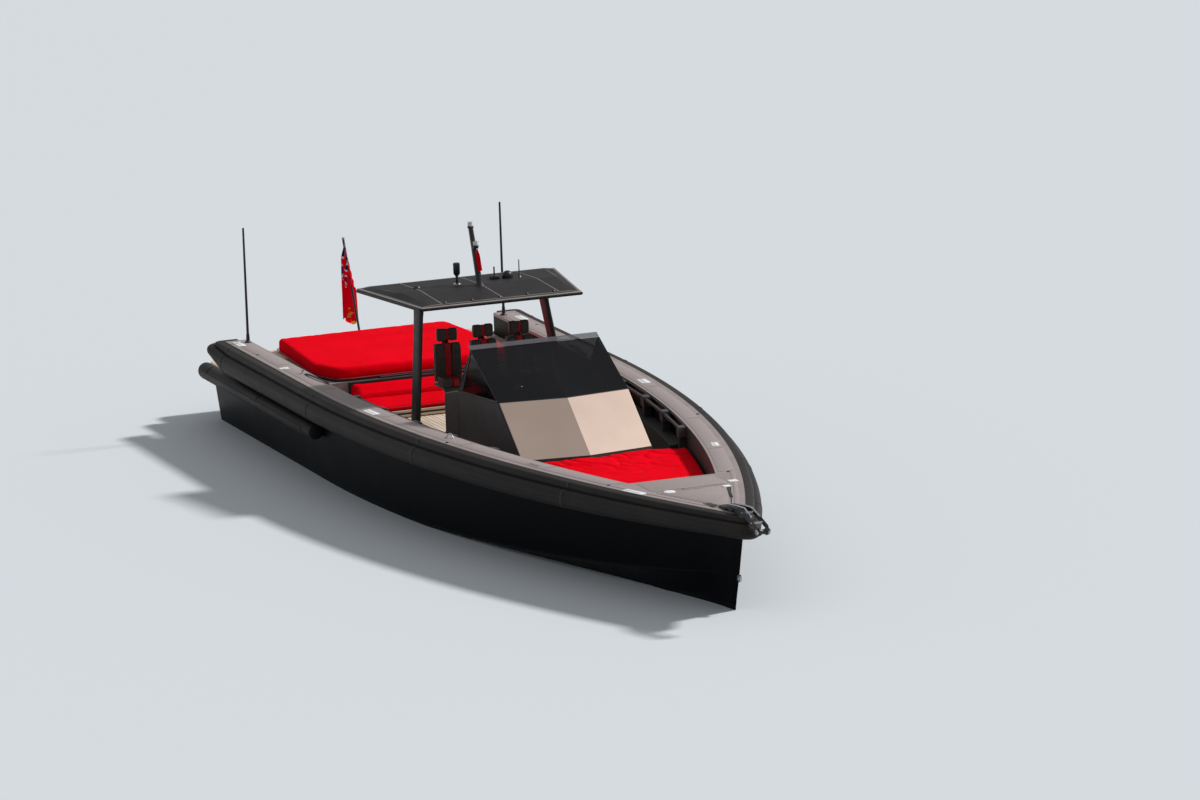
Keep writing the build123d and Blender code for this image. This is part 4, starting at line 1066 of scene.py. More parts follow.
# %% Dash instruments
SCREEN_LEAN = Matrix.Rotation(radians(-62.0), 4, "Y")
LEVER_LEAN = Matrix.Rotation(radians(-40.0), 4, "Y")
SWITCH_STEP = 0.055
dash_parts, screens, switches = [], [], []
for y in (-0.52, 0.0, 0.52):
    lean = Matrix.Translation((0.30, y, 1.53)) @ SCREEN_LEAN
    dash_parts.append(moved(rounded_box((-0.02, -0.20, -0.012), (0.24, 0.20, 0.014), 0.010), lean))
    screens.append(moved(rounded_box((0.0, -0.18, 0.013), (0.22, 0.18, 0.017), 0.002), lean))
    dash_parts.append(rounded_box((0.30, y - 0.05, 1.50), (0.40, y + 0.05, 1.56), 0.012))
dash_parts.append(rounded_box((-0.13, -0.50, 1.245), (-0.08, -0.24, 1.36), 0.012))
# Throttle levers, each a thin bar with a knob
for y in (-0.44, -0.36, -0.30):
    for radius, length, foot in ((0.011, 0.10, 0.0), (0.020, 0.035, 0.09)):
        lever = round_bar(radius, length, (0, 0, foot))
        dash_parts.append(moved(lever, Matrix.Translation((-0.115, y, 1.33)), LEVER_LEAN))
compass = [(0, 0), (0.075, 0), (0.075, 0.02), (0.06, 0.05), (0.03, 0.072), (0, 0.078)]
dash_parts.append(turned(compass, (0.75, 0.0, 1.545)))
piece("dash_gear", together(dash_parts), gear_black)
piece("dash_screens", together(screens), screen_glass)
for x, z in ((-0.13, 1.285), (-0.112, 1.335)):
    for y in between(0.24, 0.24 + 7 * SWITCH_STEP, 7):
        switches.append(rounded_box((x, y, z), (x + 0.025, y + 0.035, z + 0.025), 0.004))
piece("dash_switches", together(switches), seat_shell)

# %% Steering wheel
WHEEL_CENTRE = Vector((-0.33, 0.0, 1.42))
WHEEL_RADIUS = 0.19
WHEEL_TILT = radians(35.0)
wheel_axis = Vector((-cos(WHEEL_TILT), 0.0, sin(WHEEL_TILT)))
wheel_side = Vector((0.0, 1.0, 0.0))
wheel_turn = Matrix((wheel_side, wheel_axis.cross(wheel_side), wheel_axis)).transposed().to_4x4()
wheel_place = Matrix.Translation(WHEEL_CENTRE) @ wheel_turn
RIM_RADIUS = 0.0155
turns = between(0.0, 2 * pi, 14)
rim = turned([(WHEEL_RADIUS + RIM_RADIUS * cos(a), RIM_RADIUS * sin(a)) for a in turns], (0, 0, 0), steps=56)
piece("wheel_rim", moved(rim, wheel_place), wheel_leather, "steering_wheel", 60.0)
hub = [(0, -0.024), (0.04, -0.024), (0.045, -0.012), (0.043, 0.012), (0.03, 0.022), (0, 0.025)]
wheel_parts = [turned(hub, (0, 0, 0))]
for turn in (90.0, 210.0, 330.0):
    spoke = rounded_box((0.035, -0.016, -0.005), (WHEEL_RADIUS - 0.008, 0.016, 0.005), 0.004)
    wheel_parts.append(moved(spoke, Matrix.Rotation(radians(turn), 4, "Z")))
hub_shape = moved(together(wheel_parts), wheel_place)
wheel = piece("wheel_hub", hub_shape, stainless, "steering_wheel")
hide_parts("steering_wheel")

# %% [markdown]
# ## Soft pads
#
# A pad is a rounded form that is fullest in the middle. Dividing each point of a fine cube by the power sum
# of its coordinates gives corners that are round and sides that are nearly flat, at any size.


# %% Pads for the seats
def soft_pad(low, high, power=6.0, cuts=7):
    """Rounded pad that fills the box between two corners."""
    shape = bmesh.new()
    bmesh.ops.create_cube(shape, size=2.0)
    bmesh.ops.subdivide_edges(shape, edges=shape.edges[:], cuts=cuts, use_grid_fill=True)
    low, high = Vector(low), Vector(high)
    middle, half = (low + high) / 2, (high - low) / 2
    for vert in shape.verts:
        size = sum(abs(c) ** power for c in vert.co) ** (1.0 / power)
        vert.co = Vector(m + h * c / size for m, h, c in zip(middle, half, vert.co))
    return shape


SEAT_X = -1.56
SEAT_PLACES = [-0.5, 0.0, 0.5]
# aft and forward ends from the seat's middle, inner and outer side, bottom and top
DARK_PADS = [
    (-0.148, -0.050, 0.050, 0.178, 1.335, 1.835),
    (-0.045, 0.238, 0.050, 0.178, 1.311, 1.425),
    (-0.148, -0.066, 0.022, 0.136, 1.862, 2.028),
]
# aft and forward ends, half breadth, bottom and top
RED_PADS = [
    (-0.148, -0.066, 0.052, 1.33, 1.84),
    (-0.050, 0.230, 0.052, 1.311, 1.408),
    (-0.148, -0.078, 0.026, 1.868, 2.020),
]
# the same, and the radius of the edges
FRAME_BOXES = [
    (-0.190, -0.150, 0.165, 1.325, 1.82, 0.014),
    (-0.186, -0.152, 0.045, 1.80, 2.005, 0.012),
    (-0.190, 0.232, 0.175, 1.278, 1.312, 0.012),
    (0.10, 0.20, 0.11, 0.86, 0.885, 0.008),
]
SEAT_COLUMN = [
    (0, 0), (0.16, 0), (0.165, 0.012), (0.12, 0.03), (0.085, 0.06), (0.08, 0.55), (0.10, 0.60), (0.14, 0.655),
    (0, 0.658),
]
dark_pads, red_pads, frames = [], [], []
for y in SEAT_PLACES:
    for side in (-1, 1):
        for aft, fore, near, far, low, high in DARK_PADS:
            inner, outer = sorted((y + side * near, y + side * far))
            dark_pads.append(soft_pad((SEAT_X + aft, inner, low), (SEAT_X + fore, outer, high)))
    for aft, fore, half, low, high in RED_PADS:
        red_pads.append(soft_pad((SEAT_X + aft, y - half, low), (SEAT_X + fore, y + half, high)))
    for aft, fore, half, low, high, edge in FRAME_BOXES:
        frames.append(rounded_box((SEAT_X + aft, y - half, low), (SEAT_X + fore, y + half, high), edge))
    frames.append(turned(SEAT_COLUMN, (SEAT_X, y, SOLE_TOP_Z)))
helm_pads_dark = piece("helm_pads_dark", together(dark_pads), seat_leather, smooth=60.0)
helm_pads_red = piece("helm_pads_red", together(red_pads), red_leather, smooth=60.0)
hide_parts("helm_pads")
helm_frames = piece("helm_frames", together(frames), seat_shell)
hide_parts("helm_seats")

# %% [markdown]
# ## Roof, struts and mast
#
# The roof is a thin panel with a raised middle inside a slim frame. Fine joints run fore and aft over it.
# Two blades carry it, and the light mast stands on its middle.

# %% Roof
ROOF_AFT = (-2.59, 1.385)
ROOF_FORE = (-0.91, 1.11)
ROOF_Z = 2.435
ROOF_THICKNESS = 0.045
ROOF_CROWN = 0.06
ROOF_EDGE = 0.16


def roof_half(x):
    """Half breadth of the roof at a station."""
    share = (x - ROOF_AFT[0]) / (ROOF_FORE[0] - ROOF_AFT[0])
    return ROOF_AFT[1] + (ROOF_FORE[1] - ROOF_AFT[1]) * share


def roof_height(x, y):
    """Top of the roof at a place."""
    middle = (ROOF_AFT[0] + ROOF_FORE[0]) / 2
    reach = (ROOF_FORE[0] - ROOF_AFT[0]) / 2
    lengthwise = 1.0 - (2.0 / 3.0) * abs(x - middle) / reach
    across = min(1.0, max(0.0, (roof_half(x) - abs(y)) / ROOF_EDGE))
    return ROOF_Z + ROOF_THICKNESS + ROOF_CROWN * lengthwise * across


def roof_panel_place(u, w):
    """Thin raised panel of the roof, inside its frame."""
    x = ROOF_AFT[0] + 0.05 + (ROOF_FORE[0] - ROOF_AFT[0] - 0.09) * u
    half = roof_half(x) - 0.045
    y = half * (2 * w - 1)
    return Vector((x, y, roof_height(x, y) + 0.002))


roof_top = skin(28, 40, roof_panel_place)
piece("roof_panel", walled(roof_top, 0.002), roof_paint, smooth=12.0)
ROOF_JOINTS = [-0.81, 0.03, 0.81]
stations = between(ROOF_AFT[0] + 0.03, ROOF_FORE[0] - 0.02, 20)
joints = [tube([(x, y, roof_height(x, y) + 0.002) for x in stations], 0.006, sides=2) for y in ROOF_JOINTS]
piece("roof_joints", together(joints), trim_paint)

# name, height over the underside, reach past the sides and ends, radius, finish
ROOF_RIMS = [
    ("roof_rim", 0.018, 0.0, 0.0, 0.020, gear_black),
    ("roof_trim", 0.041, -0.012, 0.012, 0.011, trim_paint),
]
for name, rise, wider, longer, radius, paint in ROOF_RIMS:
    ends = [(ROOF_AFT[0] - longer, ROOF_AFT[1] + wider), (ROOF_FORE[0] + longer, ROOF_FORE[1] + wider)]
    a, b, c, d = [(x, side * half, ROOF_Z + rise) for x, half in ends for side in (-1, 1)]
    frame_bars = [tube(bar, radius) for bar in ((a, c), (b, d), (a, b), (c, d))]
    piece(name, together(frame_bars), paint)


def on_roof(x, y, sink=0.0):
    """Place on the roof, sunk in a little."""
    return (x, y, roof_height(x, y) - sink)


SMALL_LAMP = [(0, 0), (0.020, 0), (0.022, 0.008), (0.012, 0.02), (0, 0.022)]
ROUND_LAMP = [(0, 0), (0.045, 0), (0.047, 0.012), (0.03, 0.035), (0, 0.042)]
lights = [turned(SMALL_LAMP, on_roof(ROOF_FORE[0] - 0.06, y)) for y in (-0.75, -0.38, 0.0, 0.38, 0.75)]
lights.append(turned(ROUND_LAMP, on_roof(-1.95, -0.78)))
piece("roof_fittings", together(lights), gear_black)
lining = skin(10, 10, lambda u, w: Vector((
    ROOF_AFT[0] + 0.06 + (ROOF_FORE[0] - ROOF_AFT[0] - 0.12) * u,
    (roof_half(ROOF_AFT[0] + 1.68 * u) - 0.07) * (2 * w - 1),
    ROOF_Z - 0.003,
)))
# The roof's underside takes the same dark grey with painted shade.
piece("roof_lining", walled(lining, 0.002), shaded_liner_paint, smooth=0)

# %% Struts
STRUT_TOP = (-1.70, 0.85)
STRUT_FOOT = (-1.40, 1.08)


def oval(u, half_x, half_y, power_x, power_y):
    """Point on a squared oval, at a share of the way round."""
    c, s = cos(2 * pi * u), sin(2 * pi * u)
    return half_x * math.copysign(abs(c) ** power_x, c), half_y * math.copysign(abs(s) ** power_y, s)


def strut_place(side):
    """Rule for a blade with rounded edges, wider and heavier at its ends."""

    def place(u, w):
        flare = 1.0 + 0.35 * max(0.0, (w - 0.86) / 0.14) ** 2 + 0.25 * max(0.0, (0.06 - w) / 0.06) ** 2
        x, y = oval(u, 0.132 * flare, 0.032 * flare, 0.5, 0.7)
        x += STRUT_FOOT[0] + (STRUT_TOP[0] - STRUT_FOOT[0]) * w
        y += STRUT_FOOT[1] + (STRUT_TOP[1] - STRUT_FOOT[1]) * w
        return Vector((x, side * y, SOLE_TOP_Z + (ROOF_Z - SOLE_TOP_Z) * w))

    return place


blades = [closed_skin(36, 24, strut_place(side)) for side in (-1, 1)]
struts = piece("strut_blades", together(blades), strut_paint)
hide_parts("roof_struts")

# %% Mast and its lights
MAST_FOOT = Vector((-1.69, 0.0, 2.52))
MAST_TOP = Vector((-1.975, 0.0, 3.262))
SECOND_LAMP = Vector((-1.80, 0.0, 3.035))
UP = Vector((0.0, 0.0, 1.0))


def mast_place(u, w):
    """Tapered mast with rounded edges, swollen at its foot."""
    swell = 1.0 + 0.5 * max(0.0, 1.0 - w / 0.12) ** 2 - 0.22 * w
    return MAST_FOOT.lerp(MAST_TOP, w) + Vector((*oval(u, 0.055 * swell, 0.034 * swell, 0.6, 0.6), 0.0))


mast_gear = [closed_skin(24, 24, mast_place), round_bar(0.042, 0.03, MAST_TOP - 0.01 * UP)]
mast_gear.append(rounded_box((-1.90, -0.03, 3.01), (-1.775, 0.03, 3.035), 0.008))
mast_gear.append(round_bar(0.040, 0.02, SECOND_LAMP))
mast = piece("mast_blade", together(mast_gear), strut_paint)
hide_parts("mast")
LENS = [(0, 0), (0.034, 0), (0.036, 0.006), (0.036, 0.030), (0.030, 0.040), (0, 0.043)]
lamp_caps = [turned(LENS, foot + 0.02 * UP) for foot in (MAST_TOP, SECOND_LAMP)]
piece("mast_lamps", together(lamp_caps), plate_white)
lamp_rings = [round_bar(0.039, 0.012, foot + 0.058 * UP) for foot in (MAST_TOP, SECOND_LAMP)]
lamp_rings.append(rounded_box((-1.80, -0.02, 2.60), (-1.73, 0.03, 2.64), 0.008))
piece("lamp_rings", together(lamp_rings), stainless)

# %% Roof gear
HORN_PLACE = (-1.99, -0.21)
HORN = [
    (0, 0), (0.05, 0), (0.05, 0.012), (0.018, 0.03), (0.016, 0.12), (0.030, 0.14), (0.044, 0.16),
    (0.045, 0.285), (0.040, 0.30), (0, 0.302),
]
ROD_PLACE = (-2.05, 0.68)
ROD = [(0, 0), (0.030, 0), (0.030, 0.02), (0.014, 0.035), (0.008, 0.05), (0.006, 0.24), (0, 0.242)]
DOME_PLACE = (-2.06, 0.52)
DOME = [(0, 0), (0.072, 0), (0.072, 0.045)]
DOME += [(0.07 * sin(a), 0.045 + 0.065 * cos(a)) for a in between(pi / 2, 0.0, 8)]
dome_z = roof_height(*DOME_PLACE)
gear = [
    turned(HORN, on_roof(*HORN_PLACE, 0.02)),
    turned(ROD, on_roof(*ROD_PLACE, 0.01)),
    turned(DOME, on_roof(*DOME_PLACE, 0.01)),
    rounded_box((-2.16, 0.30, dome_z - 0.01), (-2.02, 0.40, dome_z + 0.05), 0.012),
    round_bar(0.010, 0.16, (-2.10, 0.35, dome_z)),
]
roof_kit = piece("roof_kit", together(gear), gear_black)
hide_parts("roof_gear")
gear_feet = [round_bar(0.052, 0.014, on_roof(*HORN_PLACE, 0.006))]
gear_feet.append(round_bar(0.032, 0.012, on_roof(*ROD_PLACE, 0.004)))
piece("roof_gear_feet", together(gear_feet), stainless)

# %% [markdown]
# ## Cushions
#
# Every cushion is a closed shape that is swelled by Cloth with pressure, so its sides belly out between
# its corners and its top stays crowned. The result is applied to the mesh, and no point moves further than
# the cap, so a cushion keeps to the space of its solid. Seams and piping are laid on afterwards.


# %% Filled cushions
def grown(shape, grid):
    """Shape remeshed into even faces of one size."""
    data = bpy.data.meshes.new("filled")
    shape.to_mesh(data)
    shape.free()
    holder = bpy.data.objects.new("filled", data)
    bpy.context.collection.objects.link(holder)
    even = holder.modifiers.new("even", "REMESH")
    even.mode = "VOXEL"
    even.voxel_size = grid
    holder.data = bpy.data.meshes.new_from_object(holder.evaluated_get(bpy.context.evaluated_depsgraph_get()))
    holder.modifiers.clear()
    return holder


def settled(holder, frames, gravity=1.0, **settings):
    """Places of a holder's points after a run of Cloth."""
    cloth = holder.modifiers.new("cloth", "CLOTH")
    for label, value in settings.items():
        setattr(cloth.settings, label, value)
    cloth.settings.effector_weights.gravity = gravity
    cloth.point_cache.frame_start = 1
    cloth.point_cache.frame_end = frames
    for number in range(1, frames + 1):
        bpy.context.scene.frame_set(number)
    evaluated = holder.evaluated_get(bpy.context.evaluated_depsgraph_get())
    places = [v.co.copy() for v in evaluated.to_mesh().vertices]
    evaluated.to_mesh_clear()
    bpy.context.scene.frame_set(1)
    holder.modifiers.clear()
    return places


def capped(old, new, cap):
    """A new place, kept within a distance of the old one."""
    step = new - old
    return old + step * (cap / step.length if step.length > cap else 1.0)


def swelled(holder, pressure, cap, floor, pull=()):
    """Shape of a holder after Cloth with pressure. Points stay above the floor and near where they were."""
    after = [v.co.copy() for v in holder.data.vertices]
    after = settled(
        holder, 20, 0.0, quality=6, mass=0.35, tension_stiffness=12.0, compression_stiffness=12.0,
        bending_stiffness=0.6, use_pressure=True, uniform_pressure_force=pressure,
    )
    data = holder.data
    shape = bmesh.new()
    shape.from_mesh(data)
    for vert, new in zip(shape.verts, after):
        vert.co = capped(vert.co, new, cap)
        dimple = 0.0
        for spot, depth, reach in pull:
            dimple += depth * math.exp(-((vert.co - Vector(spot)).length / reach) ** 2)
        vert.co.z = max(floor, vert.co.z - dimple)
    bmesh.ops.smooth_vert(
        shape, verts=shape.verts, factor=0.4, use_axis_x=True, use_axis_y=True, use_axis_z=True
    )
    bpy.data.objects.remove(holder)
    bpy.data.meshes.remove(data)
    return shape


def creased(shape, size, depth, puckers=0.0):
    """Shallow folds over a shape, deeper on its upright faces. Puckers are thin furrows in its top."""
    shape.normal_update()
    for vert in shape.verts:
        upright = 1.0 - abs(vert.normal.z)
        fold = rumple.fractal(vert.co * size, 0.8, 2.0, 3)
        vert.co += vert.normal * depth * fold * (0.35 + 0.65 * upright)
        if puckers:
            slant = Vector((vert.co.x * 2.2 + vert.co.y * 1.0, vert.co.y * 3.0 - vert.co.x * 0.8, 0.7))
            furrow = max(0.0, 1.0 - abs(rumple.fractal(slant, 0.9, 2.0, 2)) * 4.0) ** 2
            aft = max(0.0, min(1.0, (3.3 - vert.co.x) / 0.8))
            vert.co.z -= puckers * furrow * max(0.0, vert.normal.z) ** 2 * (0.25 + 0.75 * aft)
    return shape


PRESSURE = 4.0


def cushion(name, shape, grid, floor, node_name, body=ROOT, cap=0.014, pull=(), folds=0.006, puckers=0.0):
    """Filled cushion that stands for a CAD solid."""
    filled = creased(swelled(grown(shape, grid), PRESSURE, cap, floor, pull), 2.2, folds, puckers)
    made = piece(name, filled, red_cloth, body, 60.0)
    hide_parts(node_name)


def rounded_outline(points, corner, steps=5):
    """Loop of points with each corner rounded."""
    loop = []
    for before, point, after in zip(points[-1:] + points[:-1], points, points[1:] + points[:1]):
        point, back, on = Vector(point), Vector(before) - Vector(point), Vector(after) - Vector(point)
        reach = min(corner, back.length * 0.45, on.length * 0.45)
        start, end = point + back.normalized() * reach, point + on.normalized() * reach
        for share in between(0.0, 1.0, steps):
            loop.append(tuple(start.lerp(point, share).lerp(point.lerp(end, share), share)))
    return loop


# %% Sun pad
PAD_OUTLINE = [(-6.515, 1.235), (-4.60, 1.385), (-4.13, 1.215), (-4.085, 1.025)]
PAD_LOW_Z = 0.950
PAD_HIGH_Z = 1.130
PAD_INSET = 0.002
PAD_CORNER = 0.09


def pad_loop(inset):
    """Outline of the sun pad, moved in a little, with rounded corners."""
    shifts = [(inset, -inset), (0.0, -inset), (-inset, -inset), (-inset, -inset)]
    port = [(x + dx, y + dy) for (x, y), (dx, dy) in zip(PAD_OUTLINE, shifts)]
    return rounded_outline(port + [(x, -y) for x, y in reversed(port)], PAD_CORNER)


pad_shape = plate(pad_loop(PAD_INSET), PAD_LOW_Z, PAD_HIGH_Z, 0.045, 4)
cushion(
    "sun_pad_cover", pad_shape, 0.034, PAD_LOW_Z, "sun_pad", "engine_hatch", 0.016, folds=0.007, puckers=0.007
)
pad_seam = tube([(x, y, PAD_LOW_Z + 0.030) for x, y in pad_loop(-0.004)], 0.007, closed=True)
piece("sun_pad_piping", pad_seam, red_leather, "engine_hatch")

# %% Bench cushions
BACK_PROFILE = [(-4.005, 0.694), (-4.005, 0.925), (-3.905, 0.925), (-3.705, 0.770), (-3.730, 0.705)]
BENCH_HALF = 1.06
BENCH_FLOOR = 0.6903


def extruded(profile, half, edge):
    """Bar of an XZ profile across the boat, with rounded edges."""
    shape = bmesh.new()
    base = shape.faces.new([shape.verts.new(at(point, -half)) for point in profile])
    raised(shape, [base], (0, 2 * half, 0))
    bmesh.ops.recalc_face_normals(shape, faces=shape.faces)
    eased(shape, shape.edges[:], edge, 3)
    return shape


back = extruded(BACK_PROFILE, BENCH_HALF - 0.012, 0.028)
cushion("bench_back_cover", back, 0.022, BENCH_FLOOR, "bench_back_cushion", folds=0.005)
seat = rounded_box((-3.632, -BENCH_HALF + 0.012, 0.694), (-2.935, BENCH_HALF - 0.012, 0.792), 0.028, 3)
cushion("bench_seat_cover", seat, 0.022, BENCH_FLOOR, "bench_seat_cushion", folds=0.005)
seam_y = BENCH_HALF - 0.04
bench_seams = [tube([(-2.926, -seam_y, z), (-2.926, seam_y, z)], 0.0045) for z in (0.716, 0.772)]
piece("bench_seams", together(bench_seams), red_leather)

# %% Fore cushion
FORE_CUSHION_Z = 0.8605
FORE_CUSHION_TOP = 1.004
FORE_CUSHION_AFT = 2.225
FORE_CUSHION_FORE = 4.872
fore_half = [(x, edge_y(x, 0.338)) for x in between(FORE_CUSHION_AFT, FORE_CUSHION_FORE, 14)]
fore_aft = [(2.215, -0.93), (2.10, -0.86), (2.205, 0.0), (2.10, 0.86), (2.215, 0.93)]
fore_loop = rounded_outline(fore_half + [(x, -y) for x, y in reversed(fore_half)] + fore_aft, 0.05, 4)
BUTTON = [(0, 0), (0.016, 0), (0.015, 0.006), (0, 0.009)]
button_places = [(x, y, FORE_CUSHION_TOP) for x in (2.75, 3.35, 3.95, 4.50) for y in (-0.62, -0.2, 0.2, 0.62)]
button_places = [place for place in button_places if abs(place[1]) < edge_y(place[0], 0.55)]
fore_shape = plate(fore_loop, FORE_CUSHION_Z + 0.002, FORE_CUSHION_TOP, 0.04, 4)
pulls = [(place, 0.016, 0.07) for place in button_places]
cushion(
    "fore_cushion_cover", fore_shape, 0.024, FORE_CUSHION_Z, "fore_cushion", pull=pulls, folds=0.011,
    puckers=0.032,
)
button_tops = [turned(BUTTON, Vector(place) - 0.008 * UP) for place in button_places]
piece("fore_cushion_buttons", together(button_tops), red_leather)

# %% Bench front slats
slats = []
for z in (0.726, 0.667):
    slats.append(rounded_box((-2.925, -BENCH_HALF, z - 0.034), (-2.905, BENCH_HALF, z - 0.002), 0.004))
piece("bench_slats", together(slats), slat_wood)

# %% Teak on the aft deck
aft_teak = []
for side in (-1, 1):
    for row in range(2):
        low_y, high_y = sorted((side * (1.245 + 0.265 * row), side * (1.50 + 0.265 * row)))
        low, high = (-6.585, low_y, AFT_DECK_Z - 0.002), (-5.94, high_y, AFT_DECK_Z + 0.012)
        aft_teak.append(rounded_box(low, high, 0.004, 2))
piece("aft_deck_teak", together(aft_teak), teak)

# %% [markdown]
# ## Ensign
#
# The flag hangs from a raked staff. Its top corner is at the staff's head and the cloth falls in pleats,
# so the sheet starts pleated and a short cloth run lets it settle. Its design is a red field, a blue canton
# with a plain cross and saltire, and a generic gold spray in the fly, none of them an actual crest.

# %% Flag cloth
ENSIGN_FLY = 1.15
ENSIGN_HOIST = 0.62
ENSIGN_COLUMNS = 64
ENSIGN_ROWS = 100
ENSIGN_FOOT_Z = 1.165
HOIST_TOP = Vector((-7.085, 0.0, 2.262))
HOIST_ALONG = Vector((0.402, 0.0, -0.916))
PLEATS = 4.5
# place down the hoist and out along the fly, reach
GOLD_SPOTS = [
    (0.74, 0.90, 0.10), (0.55, 0.86, 0.06), (0.88, 0.84, 0.06), (0.66, 0.80, 0.05), (0.50, 0.94, 0.05),
    (0.85, 0.96, 0.05),
]
ENSIGN_CAP = 0.012


def ensign_place(u, w):
    """Pleated fall of the flag: u runs down the hoist and w runs out along the fly."""
    hoist = HOIST_TOP + HOIST_ALONG * (ENSIGN_HOIST * u)
    fall = w ** (1.0 + 0.35 * u)
    deep = min(1.0, w * 5.0)
    pleat = 2 * pi * PLEATS * u
    x = hoist.x + (-7.10 + 0.32 * u - hoist.x) * w * w + 0.012 * deep * sin(pleat)
    y = deep * (0.046 * sin(pleat - pi / 2) + 0.024 * (2 * u - 1) + 0.002 * sin(7.0 * w + 4.0 * u))
    z = hoist.z + (ENSIGN_FOOT_Z + 0.03 * sin(pleat) - hoist.z) * fall
    return Vector((x, y, z))


def ensign_tone(u, w):
    """Colour of the flag: red field, blue canton with a cross over a saltire, gold spray in the fly."""
    red, blue, white = (0.92, 0.0, 0.02), (0.014, 0.022, 0.12), (0.90, 0.90, 0.92)
    gold = (0.70, 0.42, 0.02)
    if u < 0.5 and w < 0.5:
        across, along = u / 0.5 - 0.5, w / 0.5 - 0.5
        if min(abs(across), abs(along)) < 0.065:
            return red
        if min(abs(across), abs(along)) < 0.125:
            return white
        slant = min(abs(across - along), abs(across + along))
        if slant < 0.035:
            return red
        return white if slant < 0.11 else blue
    for spot_u, spot_w, reach in GOLD_SPOTS:
        away = sqrt((u - spot_u) ** 2 + ((w - spot_w) * ENSIGN_FLY / ENSIGN_HOIST) ** 2)
        if away < reach and rumple.noise(Vector((u * 26, w * 40, 3.0))) > -0.18:
            return gold
    return red


def hung_sheet():
    """Flag after a short run of Cloth, held along its hoist, with its colours kept at its points."""
    shape = bmesh.new()
    across, down = (between(0.0, 1.0, count) for count in (ENSIGN_COLUMNS, ENSIGN_ROWS))
    points = [[shape.verts.new(ensign_place(u, w)) for w in down] for u in across]
    for near, far in zip(points, points[1:]):
        for j in range(ENSIGN_ROWS):
            shape.faces.new([near[j], far[j], far[j + 1], near[j + 1]])
    data = bpy.data.meshes.new("ensign_sheet")
    shape.to_mesh(data)
    shape.free()
    layer = data.color_attributes.new("dye", "FLOAT_COLOR", "POINT")
    layer.data.foreach_set("color", [c for u in across for w in down for c in (*ensign_tone(u, w), 1.0)])
    made = bpy.data.objects.new("ensign_sheet", data)
    bpy.context.collection.objects.link(made)
    pins = made.vertex_groups.new(name="hoist")
    pins.add([i * (ENSIGN_ROWS + 1) for i in range(ENSIGN_COLUMNS + 1)], 1.0, "REPLACE")
    places = settled(made, 12, vertex_group_mass="hoist", quality=8, mass=0.12, bending_stiffness=0.1)
    made.vertex_groups.clear()
    for vert, new in zip(data.vertices, places):
        vert.co = capped(vert.co, new, ENSIGN_CAP)
    data.polygons.foreach_set("use_smooth", [True] * len(data.polygons))
    return made
ensign_cloth = woven("ensign_cloth", shade(214, 10, 22), shade(240, 26, 36), 90.0, 0.0004)
dye = ensign_cloth.node_tree.nodes.new("ShaderNodeVertexColor")
dye.layer_name = "dye"
colour_by(ensign_cloth, dye.outputs["Color"])
ensign = hung_sheet()
ensign.data.materials.append(ensign_cloth)
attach(ensign, ROOT)
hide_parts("ensign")
print("ensign", len(ensign.data.vertices))


def courtesy_place(u, w):
    """Small flag hanging in two folds from the mast's forward lamp."""
    x = -1.778 + 0.075 * u * (0.35 + 0.65 * w) + 0.05 * w
    y = 0.024 * sin(2 * pi * 1.2 * u + 0.4) * min(1.0, 2.5 * w + 0.2)
    return Vector((x, y, 2.985 - 0.275 * w + 0.03 * u))


courtesy = piece("courtesy_flag", skin(16, 22, courtesy_place), red_cloth, smooth=60.0)

# %% [markdown]
# ## Deck fittings
#
# Mooring fittings lie flush in the deck, each a pale plate with a folded bar. Near the bow are the locker's
# fittings and the anchor arm.


# %% Flush plates
def cleat_plate(x, y, length, width):
    """Flush plate with a folded bar, lying along the deck edge."""
    side = math.copysign(1.0, y)
    slope = side * (edge_y(x + 0.1) - edge_y(x - 0.1)) / 0.2
    place = Matrix.Translation((x, y, DECK_Z)) @ Matrix.Rotation(math.atan(slope), 4, "Z")
    base = rounded_box((-length / 2, -width / 2, -0.004), (length / 2, width / 2, 0.008), 0.005, 2)
    bar = rounded_box((-length * 0.38, -0.016, 0.006), (length * 0.38, 0.016, 0.014), 0.004, 2)
    return [moved(base, place), moved(bar, place)]


# place across and along, length, width, and whether the plate is pale or painted as the deck
PLATE_PLACES = [
    (-5.82, -1.985, 0.30, 0.11, True), (-5.55, 1.985, 0.30, 0.11, True), (-3.95, -1.985, 0.10, 0.13, True),
    (-3.95, 1.985, 0.10, 0.13, True), (-0.685, -1.916, 0.34, 0.11, True), (-0.715, 1.86, 0.26, 0.12, True),
    (3.35, -1.20, 0.26, 0.10, False), (3.35, 1.20, 0.20, 0.09, True), (5.38, -0.69, 0.36, 0.10, True),
]
pale, painted = [], []
for x, y, length, width, is_pale in PLATE_PLACES:
    pair = cleat_plate(x, y, length, width)
    (pale if is_pale else painted).extend(pair)
pale.append(rounded_box((5.345, 0.535, DECK_Z - 0.003), (5.455, 0.655, DECK_Z + 0.009), 0.005, 2))
cleat_plates = piece("cleat_plates", together(pale), plate_white)
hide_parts("cleats")
piece("painted_cleats", together(painted), deck_paint)
CAP_PLACES = [
    (4.87, -0.82), (4.89, 0.745), (6.82, 0.10), (-5.0, 2.0), (-5.0, -2.0), (1.55, 1.70), (1.55, -1.70),
]
caps = [round_bar(0.022, 0.006, (x, y, DECK_Z + 0.001)) for x, y in CAP_PLACES]
piece("deck_caps", together(caps), gear_black)

